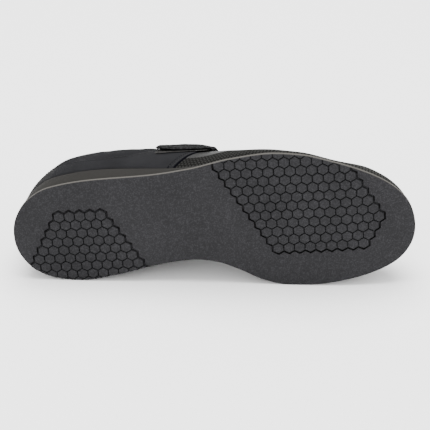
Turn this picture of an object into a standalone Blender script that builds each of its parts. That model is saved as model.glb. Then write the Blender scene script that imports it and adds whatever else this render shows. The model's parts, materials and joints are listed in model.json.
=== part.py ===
# Weightlifting shoe for the right foot, lying on its inner side.
# It is modelled standing, in metres: +X to the toe, +Y to the inner side of the foot, and +Z up
# from the flat plane of the tread. An empty then lays it on its inner side.

import functools
import math

import bmesh
import bpy
import numpy as np
from mathutils import Matrix, Vector

# Sole
LENGTH = 0.300
BALL_WIDTH = 0.108
WAIST_WIDTH = 0.073
HEEL_WIDTH = 0.082
OUTSOLE_THICKNESS = 0.0036
HEEL_RIM_HEIGHT = 0.0260
FOREFOOT_RIM_HEIGHT = 0.0072
TOE_SPRING = 0.0083
SPRING_START = 0.76 * LENGTH
OUTSOLE_LIP = 0.0009
TREAD_EDGE_IN = 0.0004
TREAD_EDGE_UP = 0.0007
MIDSOLE_TAPER = 0.0006
MIDSOLE_UPRIGHT_SHARE = 0.3

# Tread pads of six-sided cells, whose rows run along the shoe
PAD_STEP = 0.0010
CELL_PITCH = 0.00788
CELL_ORIGIN_ALONG = 0.70 * LENGTH
CELL_ORIGIN_OUT = 0.0118

# Upper
WALL = 0.0025
UPPER_LEDGE = 0.0020
CONE_HEIGHT = 0.130
INSTEP_HEIGHT = 0.105
VAMP_HEIGHT = 0.061
TOE_HEIGHT = 0.045
COLLAR_BACK_HEIGHT = 0.090
ANKLE_HEIGHT = 0.075
THROAT_TOP_HEIGHT = 0.097
THROAT_TOP = 0.375 * LENGTH
THROAT_FRONT = 0.640 * LENGTH
THROAT_FRONT_WIDTH = 0.028
THROAT_END_LENGTH = 0.012
QUARTER_STEP = 0.0007
SEAM_FOOT = 0.400 * LENGTH
SEAM_LEAN = 0.060 * LENGTH
SEAM_REACH = 0.220 * LENGTH
SEAM_STEP_LENGTH = 0.0012

# Pieces on and in the upper
INSOLE_THICKNESS = 0.003
INSOLE_CLEARANCE = 0.0008
TONGUE_THICKNESS = 0.005
TONGUE_GAP = 0.0008
TONGUE_TOP = 0.305 * LENGTH
TONGUE_FRONT = 0.680 * LENGTH
TONGUE_TOP_WIDTH = 0.060
TONGUE_FRONT_WIDTH = 0.040
TONGUE_CORNER = 0.012
EYESTAY_END_NARROWING = 0.9
EYESTAY_WIDTH = 0.017
EYESTAY_THICKNESS = 0.0012
EYESTAY_FRONT = 0.020
STRAP_WIDTH = 0.039
STRAP_PLACE = 0.414 * LENGTH
STRAP_LEAN = 0.035 * LENGTH
STRAP_THICKNESS = 0.0028
STRAP_OUTER_END_HEIGHT = 0.051
STRAP_INNER_END_HEIGHT = 0.040
STRAP_RISE_MARGIN = 0.001
STRAP_RISE_LENGTH = 0.006
LACE_WIDTH = 0.006
LACE_THICKNESS = 0.0014
LACE_EDGE_DISTANCE = 0.007
LACE_TOP_DISTANCE = 0.008
LACE_BARS = 6

# Kilograms per cubic metre, which decide the side that the shoe rests on
DENSITY = {"outsole": 1200, "midsole": 1100, "eyestay": 1100}
CLOTH_DENSITY = 300

GAP = 0.0003
LAYER_GAP = 0.0005  # between facetted layers that curve over the instep
OUTER = -1
INNER = 1
STATIONS = 44
RIB_STEPS = 10
FOOT_SHARE = 0.045  # a rib's short first step, which keeps the wall's foot upright

# The sole's edge, a row for each place: share of the length, half width as a share, and the width
# that the share is of. A negative half width lies past the middle line.
OUTER_EDGE = [
    (0.000, -0.049, HEEL_WIDTH),
    (0.005, 0.088, HEEL_WIDTH),
    (0.019, 0.202, HEEL_WIDTH),
    (0.045, 0.317, HEEL_WIDTH),
    (0.106, 0.437, HEEL_WIDTH),
    (0.213, 0.489, HEEL_WIDTH),
    (0.350, 0.566, WAIST_WIDTH),
    (0.455, 0.610, WAIST_WIDTH),
    (0.558, 0.469, BALL_WIDTH),
    (0.650, 0.493, BALL_WIDTH),
    (0.726, 0.472, BALL_WIDTH),
    (0.800, 0.411, BALL_WIDTH),
    (0.876, 0.323, BALL_WIDTH),
    (0.941, 0.208, BALL_WIDTH),
    (0.984, 0.065, BALL_WIDTH),
    (1.000, -0.124, BALL_WIDTH),
]
INNER_EDGE = [
    (0.000, 0.049, HEEL_WIDTH),
    (0.010, 0.222, HEEL_WIDTH),
    (0.047, 0.390, HEEL_WIDTH),
    (0.103, 0.480, HEEL_WIDTH),
    (0.164, 0.507, HEEL_WIDTH),
    (0.258, 0.462, HEEL_WIDTH),
    (0.353, 0.438, WAIST_WIDTH),
    (0.445, 0.396, WAIST_WIDTH),
    (0.504, 0.433, WAIST_WIDTH),
    (0.563, 0.365, BALL_WIDTH),
    (0.621, 0.453, BALL_WIDTH),
    (0.681, 0.498, BALL_WIDTH),
    (0.741, 0.506, BALL_WIDTH),
    (0.831, 0.481, BALL_WIDTH),
    (0.892, 0.442, BALL_WIDTH),
    (0.952, 0.370, BALL_WIDTH),
    (0.986, 0.270, BALL_WIDTH),
    (1.000, 0.124, BALL_WIDTH),
]

# The midsole's rim: share of the length, and share of the drop from heel to forefoot
RIM_DROP = [
    (0.00, 1.04),
    (0.21, 1.00),
    (0.335, 0.72),
    (0.40, 0.40),
    (0.44, 0.20),
    (0.475, 0.08),
    (0.52, 0.00),
    (1.00, 0.00),
]

# The last over the foot, a row for each rib. A rib rises from the sole's edge at share "place" of
# the length to the ridge. The ridge lies at share "along" of the length, at share "height" of the
# height named beside it, and at share "side" of the ball width to the inner side. "lift" is how
# far the wall keeps upright and "round" how far the top keeps level, as shares of the rib's rise
# and reach. "flare" leans the wall's foot outwards, as a share of the waist width.
LAST_COLUMNS = (
    "place", "along", "height", "of", "side",
    "outer_lift", "outer_round", "outer_flare", "inner_lift", "inner_round", "inner_flare",
)
LAST = [
    (0.00, 0.180, 1.00, CONE_HEIGHT, 0.02, 0.45, 0.55, 0.04, 0.45, 0.55, 0.04),
    (0.05, 0.190, 1.00, CONE_HEIGHT, 0.02, 0.45, 0.51, 0.01, 0.46, 0.52, 0.01),
    (0.12, 0.210, 1.01, CONE_HEIGHT, 0.01, 0.46, 0.50, 0.00, 0.44, 0.48, 0.00),
    (0.22, 0.230, 1.00, CONE_HEIGHT, 0.01, 0.50, 0.50, 0.02, 0.46, 0.50, 0.00),
    (0.30, 0.300, 0.955, CONE_HEIGHT, 0.01, 0.51, 0.48, 0.03, 0.48, 0.52, 0.04),
    (0.40, 0.400, 1.00, INSTEP_HEIGHT, 0.01, 0.54, 0.50, 0.04, 0.50, 0.52, 0.10),
    (0.50, 0.500, 0.82, INSTEP_HEIGHT, 0.01, 0.53, 0.55, 0.02, 0.50, 0.55, 0.12),
    (0.60, 0.600, 0.67, INSTEP_HEIGHT, 0.02, 0.46, 0.53, 0.01, 0.50, 0.52, 0.02),
    (0.70, 0.700, 1.00, VAMP_HEIGHT, 0.03, 0.39, 0.50, -0.01, 0.46, 0.55, 0.00),
    (0.80, 0.790, 0.87, VAMP_HEIGHT, 0.05, 0.36, 0.49, -0.01, 0.46, 0.58, 0.00),
    (0.90, 0.865, 1.09, TOE_HEIGHT, 0.08, 0.60, 0.66, 0.02, 0.50, 0.60, 0.00),
    (1.00, 0.925, 0.98, TOE_HEIGHT, 0.115, 0.70, 0.70, 0.02, 0.70, 0.70, 0.02),
]

# The collar's edge: share of the length, and share of the height named beside it
COLLAR = [
    (0.00, 1.00, COLLAR_BACK_HEIGHT),
    (0.03, 0.99, COLLAR_BACK_HEIGHT),
    (0.12, 1.06, ANKLE_HEIGHT),
    (0.21, 1.00, ANKLE_HEIGHT),
    (0.30, 1.06, ANKLE_HEIGHT),
    (0.375, 1.00, THROAT_TOP_HEIGHT),
]


def curve_through(rows):
    """A smooth function through rows of place and value that doesn't overshoot them."""
    places, values = np.array(rows, float).T
    steps = np.diff(places)
    slopes = np.diff(values) / steps
    turns = np.empty_like(values)
    turns[0], turns[-1] = slopes[0], slopes[-1]
    for i in range(1, len(slopes)):
        before, after = slopes[i - 1], slopes[i]
        weight_before = 2 * steps[i] + steps[i - 1]
        weight_after = steps[i] + 2 * steps[i - 1]
        level = before * after <= 0
        turns[i] = 0 if level else (weight_before + weight_after) / (
            weight_before / before + weight_after / after
        )

    def at(place):
        place = min(max(place, places[0]), places[-1])
        i = min(int(np.searchsorted(places, place, side="right")) - 1, len(steps) - 1)
        t = (place - places[i]) / steps[i]
        start = values[i] * (1 + 2 * t) * (1 - t) ** 2 + values[i + 1] * t * t * (3 - 2 * t)
        bend = turns[i] * t * (1 - t) ** 2 - turns[i + 1] * t * t * (1 - t)
        return float(start + bend * steps[i])

    return at


def angle_of(share):
    """The angle on a half circle over the length, which spreads out the round ends."""
    return math.acos(1 - 2 * min(max(share, 0.0), 1.0))


def share_of(angle):
    return (1 - math.cos(abs(angle))) / 2


EDGE_CURVES = {
    side: curve_through([(angle_of(place), half * width) for place, half, width in rows])
    for side, rows in ((OUTER, OUTER_EDGE), (INNER, INNER_EDGE))
}
RIM_CURVE = curve_through(RIM_DROP)
COLLAR_CURVE = curve_through([(angle_of(place), share * of) for place, share, of in COLLAR])


def last_curve(name):
    rows = [dict(zip(LAST_COLUMNS, row)) for row in LAST]
    scale = {"along": LENGTH, "side": BALL_WIDTH}.get(name, 1.0)
    if name.endswith("flare"):
        scale = WAIST_WIDTH
    if name == "height":
        return curve_through([(angle_of(row["place"]), row["height"] * row["of"]) for row in rows])
    return curve_through([(angle_of(row["place"]), row[name] * scale) for row in rows])


LAST_CURVES = {name: last_curve(name) for name in LAST_COLUMNS if name not in ("place", "of")}


def spring(x):
    """How far the toe spring lifts the sole at x."""
    past = max(0.0, (x - SPRING_START) / (LENGTH - SPRING_START))
    return TOE_SPRING * past * past


def rim_height(x):
    """The height of the midsole's upper face at x."""
    drop = HEEL_RIM_HEIGHT - FOREFOOT_RIM_HEIGHT
    return FOREFOOT_RIM_HEIGHT + drop * RIM_CURVE(x / LENGTH) + spring(x)


def edge_point(angle):
    """A point of the sole's edge. Negative angles run along the outer side, positive the inner."""
    if abs(angle) > math.pi:
        angle -= math.copysign(2 * math.pi, angle)
    side = INNER if angle > 0 else OUTER
    return Vector((LENGTH * share_of(angle), side * EDGE_CURVES[side](abs(angle)), 0))


def inset_point(angle, inset):
    """The sole's edge moved inwards, square to itself."""
    step = 0.02
    along = edge_point(angle + step) - edge_point(angle - step)
    inwards = Vector((along.y, -along.x, 0)).normalized()
    return edge_point(angle) + inwards * inset


def ridge_slope(station):
    """How steeply the ridge climbs towards the toe."""
    before, after = max(station - 0.05, 0), min(station + 0.05, math.pi)
    climb = LAST_CURVES["height"](after) - LAST_CURVES["height"](before)
    return climb / (LAST_CURVES["along"](after) - LAST_CURVES["along"](before))


def rib_point(angle, share):
    """A point of the last's outer surface, at a share of the rib that starts at this angle."""
    side = "inner" if angle > 0 else "outer"
    station = abs(angle)
    foot = inset_point(angle, UPPER_LEDGE)
    foot.z = rim_height(foot.x) + GAP
    top = Vector((LAST_CURVES["along"](station), LAST_CURVES["side"](station),
                  LAST_CURVES["height"](station)))
    outwards = Vector((foot.x - top.x, foot.y - top.y, 0))
    reach = outwards.length
    outwards.normalize()
    rise = top.z - foot.z
    low = foot + outwards * LAST_CURVES[side + "_flare"](station)
    low.z += rise * LAST_CURVES[side + "_lift"](station)
    high = top + outwards * reach * LAST_CURVES[side + "_round"](station)
    high.z += ridge_slope(station) * (high.x - top.x)
    rest = 1 - share
    return (foot * rest ** 3 + low * 3 * rest * rest * share
            + high * 3 * rest * share * share + top * share ** 3)


def one_sided_normal(angle, share):
    step = 0.01
    along = rib_point(angle + step, share) - rib_point(angle - step, share)
    up = rib_point(angle, min(share + step, 1)) - rib_point(angle, max(share - step, 0))
    normal = along.cross(up).normalized()
    point = rib_point(angle, share)
    outwards = point - Vector((point.x, 0, INSTEP_HEIGHT / 3))
    return normal if normal.dot(outwards) > 0 else -normal


def rib_normal(angle, share):
    """The direction out of the last's surface. On the ridge both sides share one."""
    normal = one_sided_normal(angle, share)
    if share > 0.999:
        normal = (normal + one_sided_normal(-angle, share)).normalized()
    return normal


def share_where(angle, beyond):
    """The share of a rib, between a fifth and its top, past which beyond(point) holds."""
    low, high = 0.2, 1.0
    for _ in range(30):
        middle = (low + high) / 2
        if beyond(rib_point(angle, middle)):
            high = middle
        else:
            low = middle
    return high


def share_at_height(angle, height):
    return share_where(angle, lambda point: point.z > height)


def share_at_half_width(angle, half_width):
    ridge = rib_point(angle, 1)
    return share_where(angle, lambda point: abs(point.y - ridge.y) < half_width)


def throat_half_width(side, x):
    """Half the throat's width at x on one side, before its front end is rounded."""
    corner = side * angle_of(THROAT_TOP / LENGTH)
    top_half = abs(rib_point(corner, opening_share(corner)).y - rib_point(corner, 1).y)
    down = min(1, (x - THROAT_TOP) / (THROAT_FRONT - THROAT_TOP))
    return top_half + (THROAT_FRONT_WIDTH / 2 - top_half) * math.sqrt(down)


@functools.cache
def opening_share(angle):
    """Where a rib meets the edge of the collar or of the throat. Past the throat it is the ridge."""
    x = LENGTH * share_of(angle)
    if x <= THROAT_TOP + 1e-9:
        return share_at_height(angle, COLLAR_CURVE(abs(angle)))
    if x >= THROAT_FRONT:
        return 1.0
    half_width = throat_half_width(math.copysign(1, angle), x)
    to_end = (THROAT_FRONT - x) / THROAT_END_LENGTH
    if to_end < 1:
        half_width *= math.sqrt(1 - (1 - to_end) ** 2)
    return share_at_half_width(angle, half_width)


def share_down_from(angle, start, distance):
    """The share of the rib that lies this far down the wall from another share."""
    share, left = start, distance
    point = rib_point(angle, share)
    while left > 0 and share > 0.02:
        share -= 0.01
        lower = rib_point(angle, share)
        left -= (lower - point).length
        point = lower
    return share


def station_angles():
    """The angles of the ribs, close together at both ends and at the front of the throat."""
    angles = [math.pi * i / STATIONS for i in range(STATIONS + 1)]
    special = [THROAT_TOP, THROAT_FRONT, THROAT_FRONT - THROAT_END_LENGTH / 10,
               THROAT_FRONT - THROAT_END_LENGTH / 3]
    for x in special:
        wanted = angle_of(x / LENGTH)
        nearest = min(range(1, STATIONS), key=lambda i: abs(angles[i] - wanted))
        if abs(angles[nearest] - wanted) < 0.3 * math.pi / STATIONS and x in special[:2]:
            angles[nearest] = wanted
        else:
            angles.append(wanted)
    return sorted(angles)


def material(name, colour, roughness):
    made = bpy.data.materials.new(name)
    made.use_nodes = True
    shader = made.node_tree.nodes["Principled BSDF"]
    shader.inputs["Base Color"].default_value = (*colour, 1)
    shader.inputs["Roughness"].default_value = roughness
    shader.inputs["Metallic"].default_value = 0
    return made


def piece_from(name, shape, finish, smooth=True):
    """A named object from a bmesh, which is freed."""
    mesh = bpy.data.meshes.new(name)
    bmesh.ops.remove_doubles(shape, verts=shape.verts, dist=1e-6)
    shape.to_mesh(mesh)
    shape.free()
    mesh.materials.append(finish)
    if smooth:
        mesh.shade_smooth()
        mesh.set_sharp_from_angle(angle=math.radians(40))
    made = bpy.data.objects.new(name, mesh)
    bpy.context.scene.collection.objects.link(made)
    return made


def slab(rings):
    """A closed shape from rings, bottom to top, each a function of an angle. The ends are strips
    across the sole, so that they bend with it."""
    angles = station_angles()
    shape = bmesh.new()
    around = [-angle for angle in reversed(angles[1:])] + angles[:-1]
    half = len(angles) - 1
    loops = [[shape.verts.new(ring(angle)) for angle in around] for ring in rings]
    count = len(around)
    for lower, upper in zip(loops, loops[1:]):
        for i in range(count):
            j = (i + 1) % count
            shape.faces.new((lower[j], lower[i], upper[i], upper[j]))
    for loop, turn in ((loops[0], False), (loops[-1], True)):
        for i in range(half):
            strip = [loop[half - i], loop[half - i - 1],
                     loop[(half + i + 1) % count], loop[(half + i) % count]]
            strip = list(dict.fromkeys(strip))
            shape.faces.new(strip if turn else strip[::-1])
    bmesh.ops.recalc_face_normals(shape, faces=shape.faces)
    return shape


def ring_at(inset, height):
    """A ring of the sole at an inset from its edge and a height that follows x."""

    def at(angle):
        point = inset_point(angle, inset)
        point.z = height(point.x)
        return point

    return at


def cell_centre(column, row):
    """The middle of a tread cell, as x and the distance to the outer side."""
    return (CELL_ORIGIN_ALONG + column * CELL_PITCH / 2,
            CELL_ORIGIN_OUT - row * CELL_PITCH * math.sqrt(3) / 2)


def cell_side(column, row, end):
    """The upright side of a cell at its heel end (-1) or toe end (1), outer corner first."""
    x, out = cell_centre(column, row)
    half_side = CELL_PITCH / math.sqrt(3) / 2
    return [(x + end * CELL_PITCH / 2, out + half_side), (x + end * CELL_PITCH / 2, out - half_side)]


def cell_tips(columns, row, way):
    """The zigzag along one side of a row, outer (1) or inner (-1), without its last corner."""
    corner = CELL_PITCH / math.sqrt(3)
    step = 1 if columns[-1] > columns[0] else -1
    points = []
    for column in columns:
        x, out = cell_centre(column, row)
        points.append((x, out + way * corner))
        points.append((x + step * CELL_PITCH / 2, out + way * corner / 2))
    return points[:-1]


def bare_ground():
    """The outline of all the sole that has no tread pad, as x and distance to the outer side.
    The heel pad's notch opens to the inner side, and the forefoot pad's to the outer side."""
    reach = BALL_WIDTH
    points = [(-reach, reach)]
    for row in range(-8, 6):
        points += cell_side(row - 8, row, -1)
    points += cell_tips(range(-3, 14, 2), 5, -1)
    for row in range(5, -9, -1):
        points += reversed(cell_side(min(14 + row, 18 - row), row, 1))
    points += [(LENGTH + reach, reach), (LENGTH + reach, -reach)]
    for row in range(10, -1, -1):
        points += reversed(cell_side(row - 36, row, 1))
    points += cell_tips(range(-36, -45, -2), 0, 1)
    for row in range(0, 11):
        points += cell_side(-44 - row, row, -1)
    points.append((-reach, -reach))
    return points


def make_outsole(finish):
    flat = slab([
        ring_at(TREAD_EDGE_IN, lambda x: 0.0),
        ring_at(0.0, lambda x: TREAD_EDGE_UP),
        ring_at(0.0, lambda x: OUTSOLE_THICKNESS),
    ])
    outsole = piece_from("outsole", flat, finish)
    ground = bmesh.new()
    face = ground.faces.new([ground.verts.new((x, -out, -PAD_STEP)) for x, out in bare_ground()])
    raised = bmesh.ops.extrude_face_region(ground, geom=[face])
    bmesh.ops.translate(ground, vec=(0, 0, 2 * PAD_STEP),
                        verts=[v for v in raised["geom"] if isinstance(v, bmesh.types.BMVert)])
    bmesh.ops.recalc_face_normals(ground, faces=ground.faces)
    cutter = piece_from("bare_ground_cutter", ground, finish, smooth=False)
    cut = outsole.modifiers.new("bare ground", "BOOLEAN")
    cut.operation = "DIFFERENCE"
    cut.object = cutter
    graph = bpy.context.evaluated_depsgraph_get()
    solid = bpy.data.meshes.new_from_object(outsole.evaluated_get(graph))
    outsole.modifiers.clear()
    bpy.data.objects.remove(cutter)
    for vertex in solid.vertices:
        vertex.co.z += spring(vertex.co.x)
    outsole.data = solid
    return outsole


def make_midsole(finish):
    def height_at(share):
        bottom = OUTSOLE_THICKNESS + GAP
        return lambda x: (bottom + spring(x)) * (1 - share) + rim_height(x) * share

    shape = slab([
        ring_at(OUTSOLE_LIP, height_at(0)),
        ring_at(OUTSOLE_LIP, height_at(MIDSOLE_UPRIGHT_SHARE)),
        ring_at(OUTSOLE_LIP + MIDSOLE_TAPER, height_at(1)),
    ])
    return piece_from("midsole", shape, finish)


def make_insole(finish):
    inset = UPPER_LEDGE + WALL + INSOLE_CLEARANCE
    shape = slab([
        ring_at(inset, lambda x: rim_height(x) + GAP),
        ring_at(inset, lambda x: rim_height(x) + GAP + INSOLE_THICKNESS),
    ])
    return piece_from("insole", shape, finish)


def seam_lean(station, share):
    """The station moved to the toe near the quarter's front seam, more so up the rib, which
    slants the seam."""
    x = LENGTH * share_of(station)
    near = max(0, 1 - ((x - SEAM_FOOT) / SEAM_REACH) ** 2) ** 2
    return angle_of((x + SEAM_LEAN * near * share) / LENGTH)


def make_upper(finish):
    """The wall from the sole's edge to the opening's edge, thickened inwards. Its quarters and
    heel are a thicker layer, which ends in a step at the slanting seam."""
    angles = station_angles()
    seam = angle_of(SEAM_FOOT / LENGTH)
    before_seam = max(a for a in angles if a < seam)
    step_start = angle_of((SEAM_FOOT - SEAM_STEP_LENGTH) / LENGTH)
    angles = sorted(set(angles) - {before_seam} | {seam, step_start})
    shape = bmesh.new()
    for side in (OUTER, INNER):
        columns = []
        for station in angles:
            column = []
            for i in range(RIB_STEPS + 1):
                up = FOOT_SHARE + (1 - FOOT_SHARE) * (i - 1) / (RIB_STEPS - 1) if i else 0
                leaning = side * seam_lean(max(station, 1e-6), up)
                share = up * opening_share(leaning)
                point = rib_point(leaning, share)
                if station < seam:
                    point += rib_normal(leaning, share) * QUARTER_STEP
                column.append(shape.verts.new(point))
            columns.append(column)
        for here, there in zip(columns, columns[1:]):
            for i in range(RIB_STEPS):
                corners = (here[i], there[i], there[i + 1], here[i + 1])
                shape.faces.new(corners if side == OUTER else corners[::-1])
    bmesh.ops.remove_doubles(shape, verts=shape.verts, dist=2e-5)
    upper = piece_from("upper", shape, finish)
    wall = upper.modifiers.new("wall", "SOLIDIFY")
    wall.thickness = WALL
    wall.offset = -1
    wall.use_even_offset = True
    return upper


def plate(name, places, across, height, thickness, finish, keep=lambda i, j: True, lean=0):
    """A sheet that follows the last over its ridge, thickened outwards. places are distances along
    the shoe, across gives the shares of a rib from its foot side to the ridge, height is how far
    the sheet's under face lies above the last's surface, keep says which cells are there, and
    lean is how far the ridge's end of a row lies towards the toe."""
    rows = []
    for x in places:
        row = []
        for side in (OUTER, INNER):
            angle = side * angle_of(x / LENGTH)
            line = []
            for share in across(angle, x):
                leaning = side * angle_of((x + lean * share) / LENGTH)
                point = rib_point(leaning, share)
                line.append(point + rib_normal(leaning, share) * height(leaning, share))
            row += line if side == OUTER else line[-2::-1]
        rows.append(row)
    shape = bmesh.new()
    made = {}

    def vertex(i, j):
        if (i, j) not in made:
            made[i, j] = shape.verts.new(rows[i][j])
        return made[i, j]

    for i in range(len(rows) - 1):
        for j in range(len(rows[0]) - 1):
            if keep(i, j):
                shape.faces.new((vertex(i, j), vertex(i + 1, j), vertex(i + 1, j + 1), vertex(i, j + 1)))
    made_piece = piece_from(name, shape, finish)
    solid = made_piece.modifiers.new("thickness", "SOLIDIFY")
    solid.thickness = thickness
    solid.offset = 1
    solid.use_even_offset = True
    return made_piece


def evenly(start, end, count):
    return [start + (end - start) * i / count for i in range(count + 1)]


def make_tongue(finish):
    def across(angle, x):
        down = (x - TONGUE_TOP) / (TONGUE_FRONT - TONGUE_TOP)
        half = (TONGUE_TOP_WIDTH + (TONGUE_FRONT_WIDTH - TONGUE_TOP_WIDTH) * down) / 2
        past = min(1, (x - TONGUE_TOP) / TONGUE_CORNER)
        half -= TONGUE_CORNER * (1 - math.sqrt(1 - (1 - past) ** 2))
        return evenly(share_down_from(angle, 1, half), 1, 6)

    under = -(WALL + TONGUE_GAP + TONGUE_THICKNESS)
    corner_end = TONGUE_TOP + TONGUE_CORNER
    places = [TONGUE_TOP, TONGUE_TOP + 0.1 * TONGUE_CORNER, TONGUE_TOP + 0.4 * TONGUE_CORNER]
    return plate("tongue", places + evenly(corner_end, TONGUE_FRONT, 12), across,
                 lambda angle, share: under, TONGUE_THICKNESS, finish)


def make_eyestay(finish):
    """The overlay round the throat, both sides and its front."""
    steps = 3
    end = THROAT_FRONT + EYESTAY_FRONT
    places = [x for x in (LENGTH * share_of(a) for a in station_angles())
              if THROAT_TOP <= x <= THROAT_FRONT + 1e-6]
    places += [THROAT_FRONT + EYESTAY_FRONT * i / 3 for i in range(1, 4)]

    def across(angle, x):
        edge = opening_share(angle)
        if x <= THROAT_FRONT:
            half = throat_half_width(math.copysign(1, angle), x)
            foot = share_down_from(angle, share_at_half_width(angle, half), EYESTAY_WIDTH)
        else:
            past = (x - THROAT_FRONT) / (end - THROAT_FRONT)
            width = THROAT_FRONT_WIDTH / 2 + EYESTAY_WIDTH
            width *= math.sqrt(1 - EYESTAY_END_NARROWING * past * past)
            foot = share_down_from(angle, 1, width)
        return evenly(foot, edge, steps) + [edge]

    def keep(i, j):
        return j not in (steps, steps + 1)

    return plate("eyestay", places, across, lambda angle, share: QUARTER_STEP + LAYER_GAP,
                 EYESTAY_THICKNESS, finish, keep)


def make_strap(finish):
    """The strap from the outer quarter over the instep to the inner quarter, clear of the laces."""
    back, front = STRAP_PLACE - STRAP_WIDTH / 2, STRAP_PLACE + STRAP_WIDTH / 2
    low = QUARTER_STEP + LAYER_GAP
    over_eyestay = EYESTAY_THICKNESS + LAYER_GAP
    over_laces = LACE_THICKNESS + LAYER_GAP

    def across(angle, x):
        end = STRAP_INNER_END_HEIGHT if angle > 0 else STRAP_OUTER_END_HEIGHT
        return evenly(share_at_height(angle, end), 1, 12)

    def height(angle, share):
        edge = opening_share(angle)

        def climb(distance):
            """None below a line this far down from the throat's edge, then up to one at it."""
            top = share_down_from(angle, edge, distance + STRAP_RISE_MARGIN)
            foot = share_down_from(angle, top, STRAP_RISE_LENGTH)
            return min(1, max(0, (share - foot) / (top - foot)))

        rise = over_eyestay * climb(EYESTAY_WIDTH)
        return low + rise + over_laces * climb(LACE_EDGE_DISTANCE + LACE_WIDTH)

    return plate("strap", evenly(back, front, 7), across, height, STRAP_THICKNESS, finish,
                 lean=STRAP_LEAN)


def make_laces(finish):
    """Bars over the throat, joined by a run along each eyestay."""
    first, last = THROAT_TOP + LACE_TOP_DISTANCE, THROAT_FRONT - THROAT_END_LENGTH
    middles = evenly(first, last, LACE_BARS - 1)
    places = []
    for middle in middles:
        places += [middle - LACE_WIDTH / 2, middle + LACE_WIDTH / 2]

    def across(angle, x):
        edge = opening_share(angle)
        inner = share_down_from(angle, edge, LACE_EDGE_DISTANCE)
        outer = share_down_from(angle, inner, LACE_WIDTH)
        return [outer, inner] + evenly(edge, 1, 3)

    def keep(i, j):
        run = j in (0, 7)
        bar = i % 2 == 0
        return run or bar

    above = QUARTER_STEP + EYESTAY_THICKNESS + 2 * LAYER_GAP
    return plate("laces", places, across, lambda angle, share: above, LACE_THICKNESS, finish, keep)


def points_and_weight(pieces):
    """All the pieces' points, and the centre of mass."""
    graph = bpy.context.evaluated_depsgraph_get()
    points, moment, mass = [], Vector(), 0
    for piece in pieces:
        evaluated = piece.evaluated_get(graph)
        mesh = evaluated.to_mesh()
        mesh.calc_loop_triangles()
        points += [vertex.co.copy() for vertex in mesh.vertices]
        density = DENSITY.get(piece.name, CLOTH_DENSITY)
        for triangle in mesh.loop_triangles:
            a, b, c = (mesh.vertices[i].co for i in triangle.vertices)
            weight = a.dot(b.cross(c)) / 6 * density
            moment += (a + b + c) / 4 * weight
            mass += weight
        evaluated.to_mesh_clear()
    return points, moment / mass


def resting_normal(points, centre):
    """The direction that points down when the shoe lies on its inner side: square to the face of
    its convex hull that the centre of mass stands over."""
    hull = bmesh.new()
    for point in points:
        hull.verts.new(point)
    bmesh.ops.convex_hull(hull, input=hull.verts)
    hull.normal_update()

    def margin(face):
        """How far inside the face the centre stands, less than nothing if it is outside."""
        corners = [vert.co for vert in face.verts]
        edges = zip(corners, corners[1:] + corners[:1])
        return min((b - a).normalized().cross(centre - a).dot(face.normal) for a, b in edges)

    side = max((face for face in hull.faces if face.normal.y > 0.9), key=margin)
    normal = side.normal.copy()
    hull.free()
    return normal


def lay_down(pieces):
    """Parents the pieces to an empty that lays the shoe on its inner side, with the middle of its
    box's bottom at the origin."""
    points, centre = points_and_weight(pieces)
    up = -resting_normal(points, centre)
    toe = (Vector((1, 0, 0)) - up * up.x).normalized()
    turn = Matrix((toe, up.cross(toe), up))
    turned = [turn @ point for point in points]
    low = Vector(min(point[i] for point in turned) for i in range(3))
    high = Vector(max(point[i] for point in turned) for i in range(3))
    place = Vector((-(low.x + high.x) / 2, -(low.y + high.y) / 2, -low.z))
    lying = bpy.data.objects.new("lying_shoe", None)
    bpy.context.scene.collection.objects.link(lying)
    lying.matrix_world = Matrix.Translation(place) @ turn.to_4x4()
    for piece in pieces:
        piece.parent = lying
    bpy.context.view_layer.update()


def main():
    for item in list(bpy.data.objects):
        bpy.data.objects.remove(item)
    rubber = material("outsole rubber", (0.055, 0.055, 0.060), 0.75)
    foam = material("midsole", (0.060, 0.058, 0.052), 0.70)
    knit = material("upper knit", (0.025, 0.026, 0.030), 0.85)
    overlay = material("eyestay film", (0.040, 0.042, 0.046), 0.50)
    webbing = material("strap", (0.018, 0.018, 0.020), 0.90)
    padding = material("tongue cloth", (0.022, 0.022, 0.025), 0.90)
    cord = material("lace", (0.015, 0.015, 0.017), 0.90)
    sock = material("insole cloth", (0.030, 0.030, 0.032), 0.90)
    lay_down([
        make_outsole(rubber), make_midsole(foam), make_upper(knit), make_insole(sock),
        make_tongue(padding), make_eyestay(overlay), make_strap(webbing), make_laces(cord),
    ])


main()
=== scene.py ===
import json
import math
import bmesh
import bpy
import numpy as np
from mathutils import Matrix, Vector, geometry


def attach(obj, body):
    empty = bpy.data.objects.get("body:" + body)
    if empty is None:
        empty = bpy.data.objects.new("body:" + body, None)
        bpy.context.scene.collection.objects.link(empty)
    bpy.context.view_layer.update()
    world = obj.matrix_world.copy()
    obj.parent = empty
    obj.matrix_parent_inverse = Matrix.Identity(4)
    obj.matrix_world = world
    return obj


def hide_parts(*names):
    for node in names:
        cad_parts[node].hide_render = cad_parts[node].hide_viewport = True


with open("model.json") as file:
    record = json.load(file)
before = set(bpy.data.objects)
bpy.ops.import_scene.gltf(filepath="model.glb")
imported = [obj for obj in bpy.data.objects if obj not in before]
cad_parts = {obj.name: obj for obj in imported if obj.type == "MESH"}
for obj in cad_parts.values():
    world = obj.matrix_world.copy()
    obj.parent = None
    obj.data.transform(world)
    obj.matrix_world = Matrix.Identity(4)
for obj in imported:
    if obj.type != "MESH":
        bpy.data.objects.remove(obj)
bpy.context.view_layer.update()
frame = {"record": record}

# The shoe is shaped standing, in metres: x to the toe, y to the inner side, z up from the tread.
# The two tread mounts say how it lies, and every point goes through that turn.
mounts = {mount["name"]: mount for mount in frame["record"]["mounts"]}
heelSpot = Vector(mounts["heel_tread"]["pos_m"])
foreSpot = Vector(mounts["forefoot_tread"]["pos_m"])
heelSpotAlong = 0.052
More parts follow.
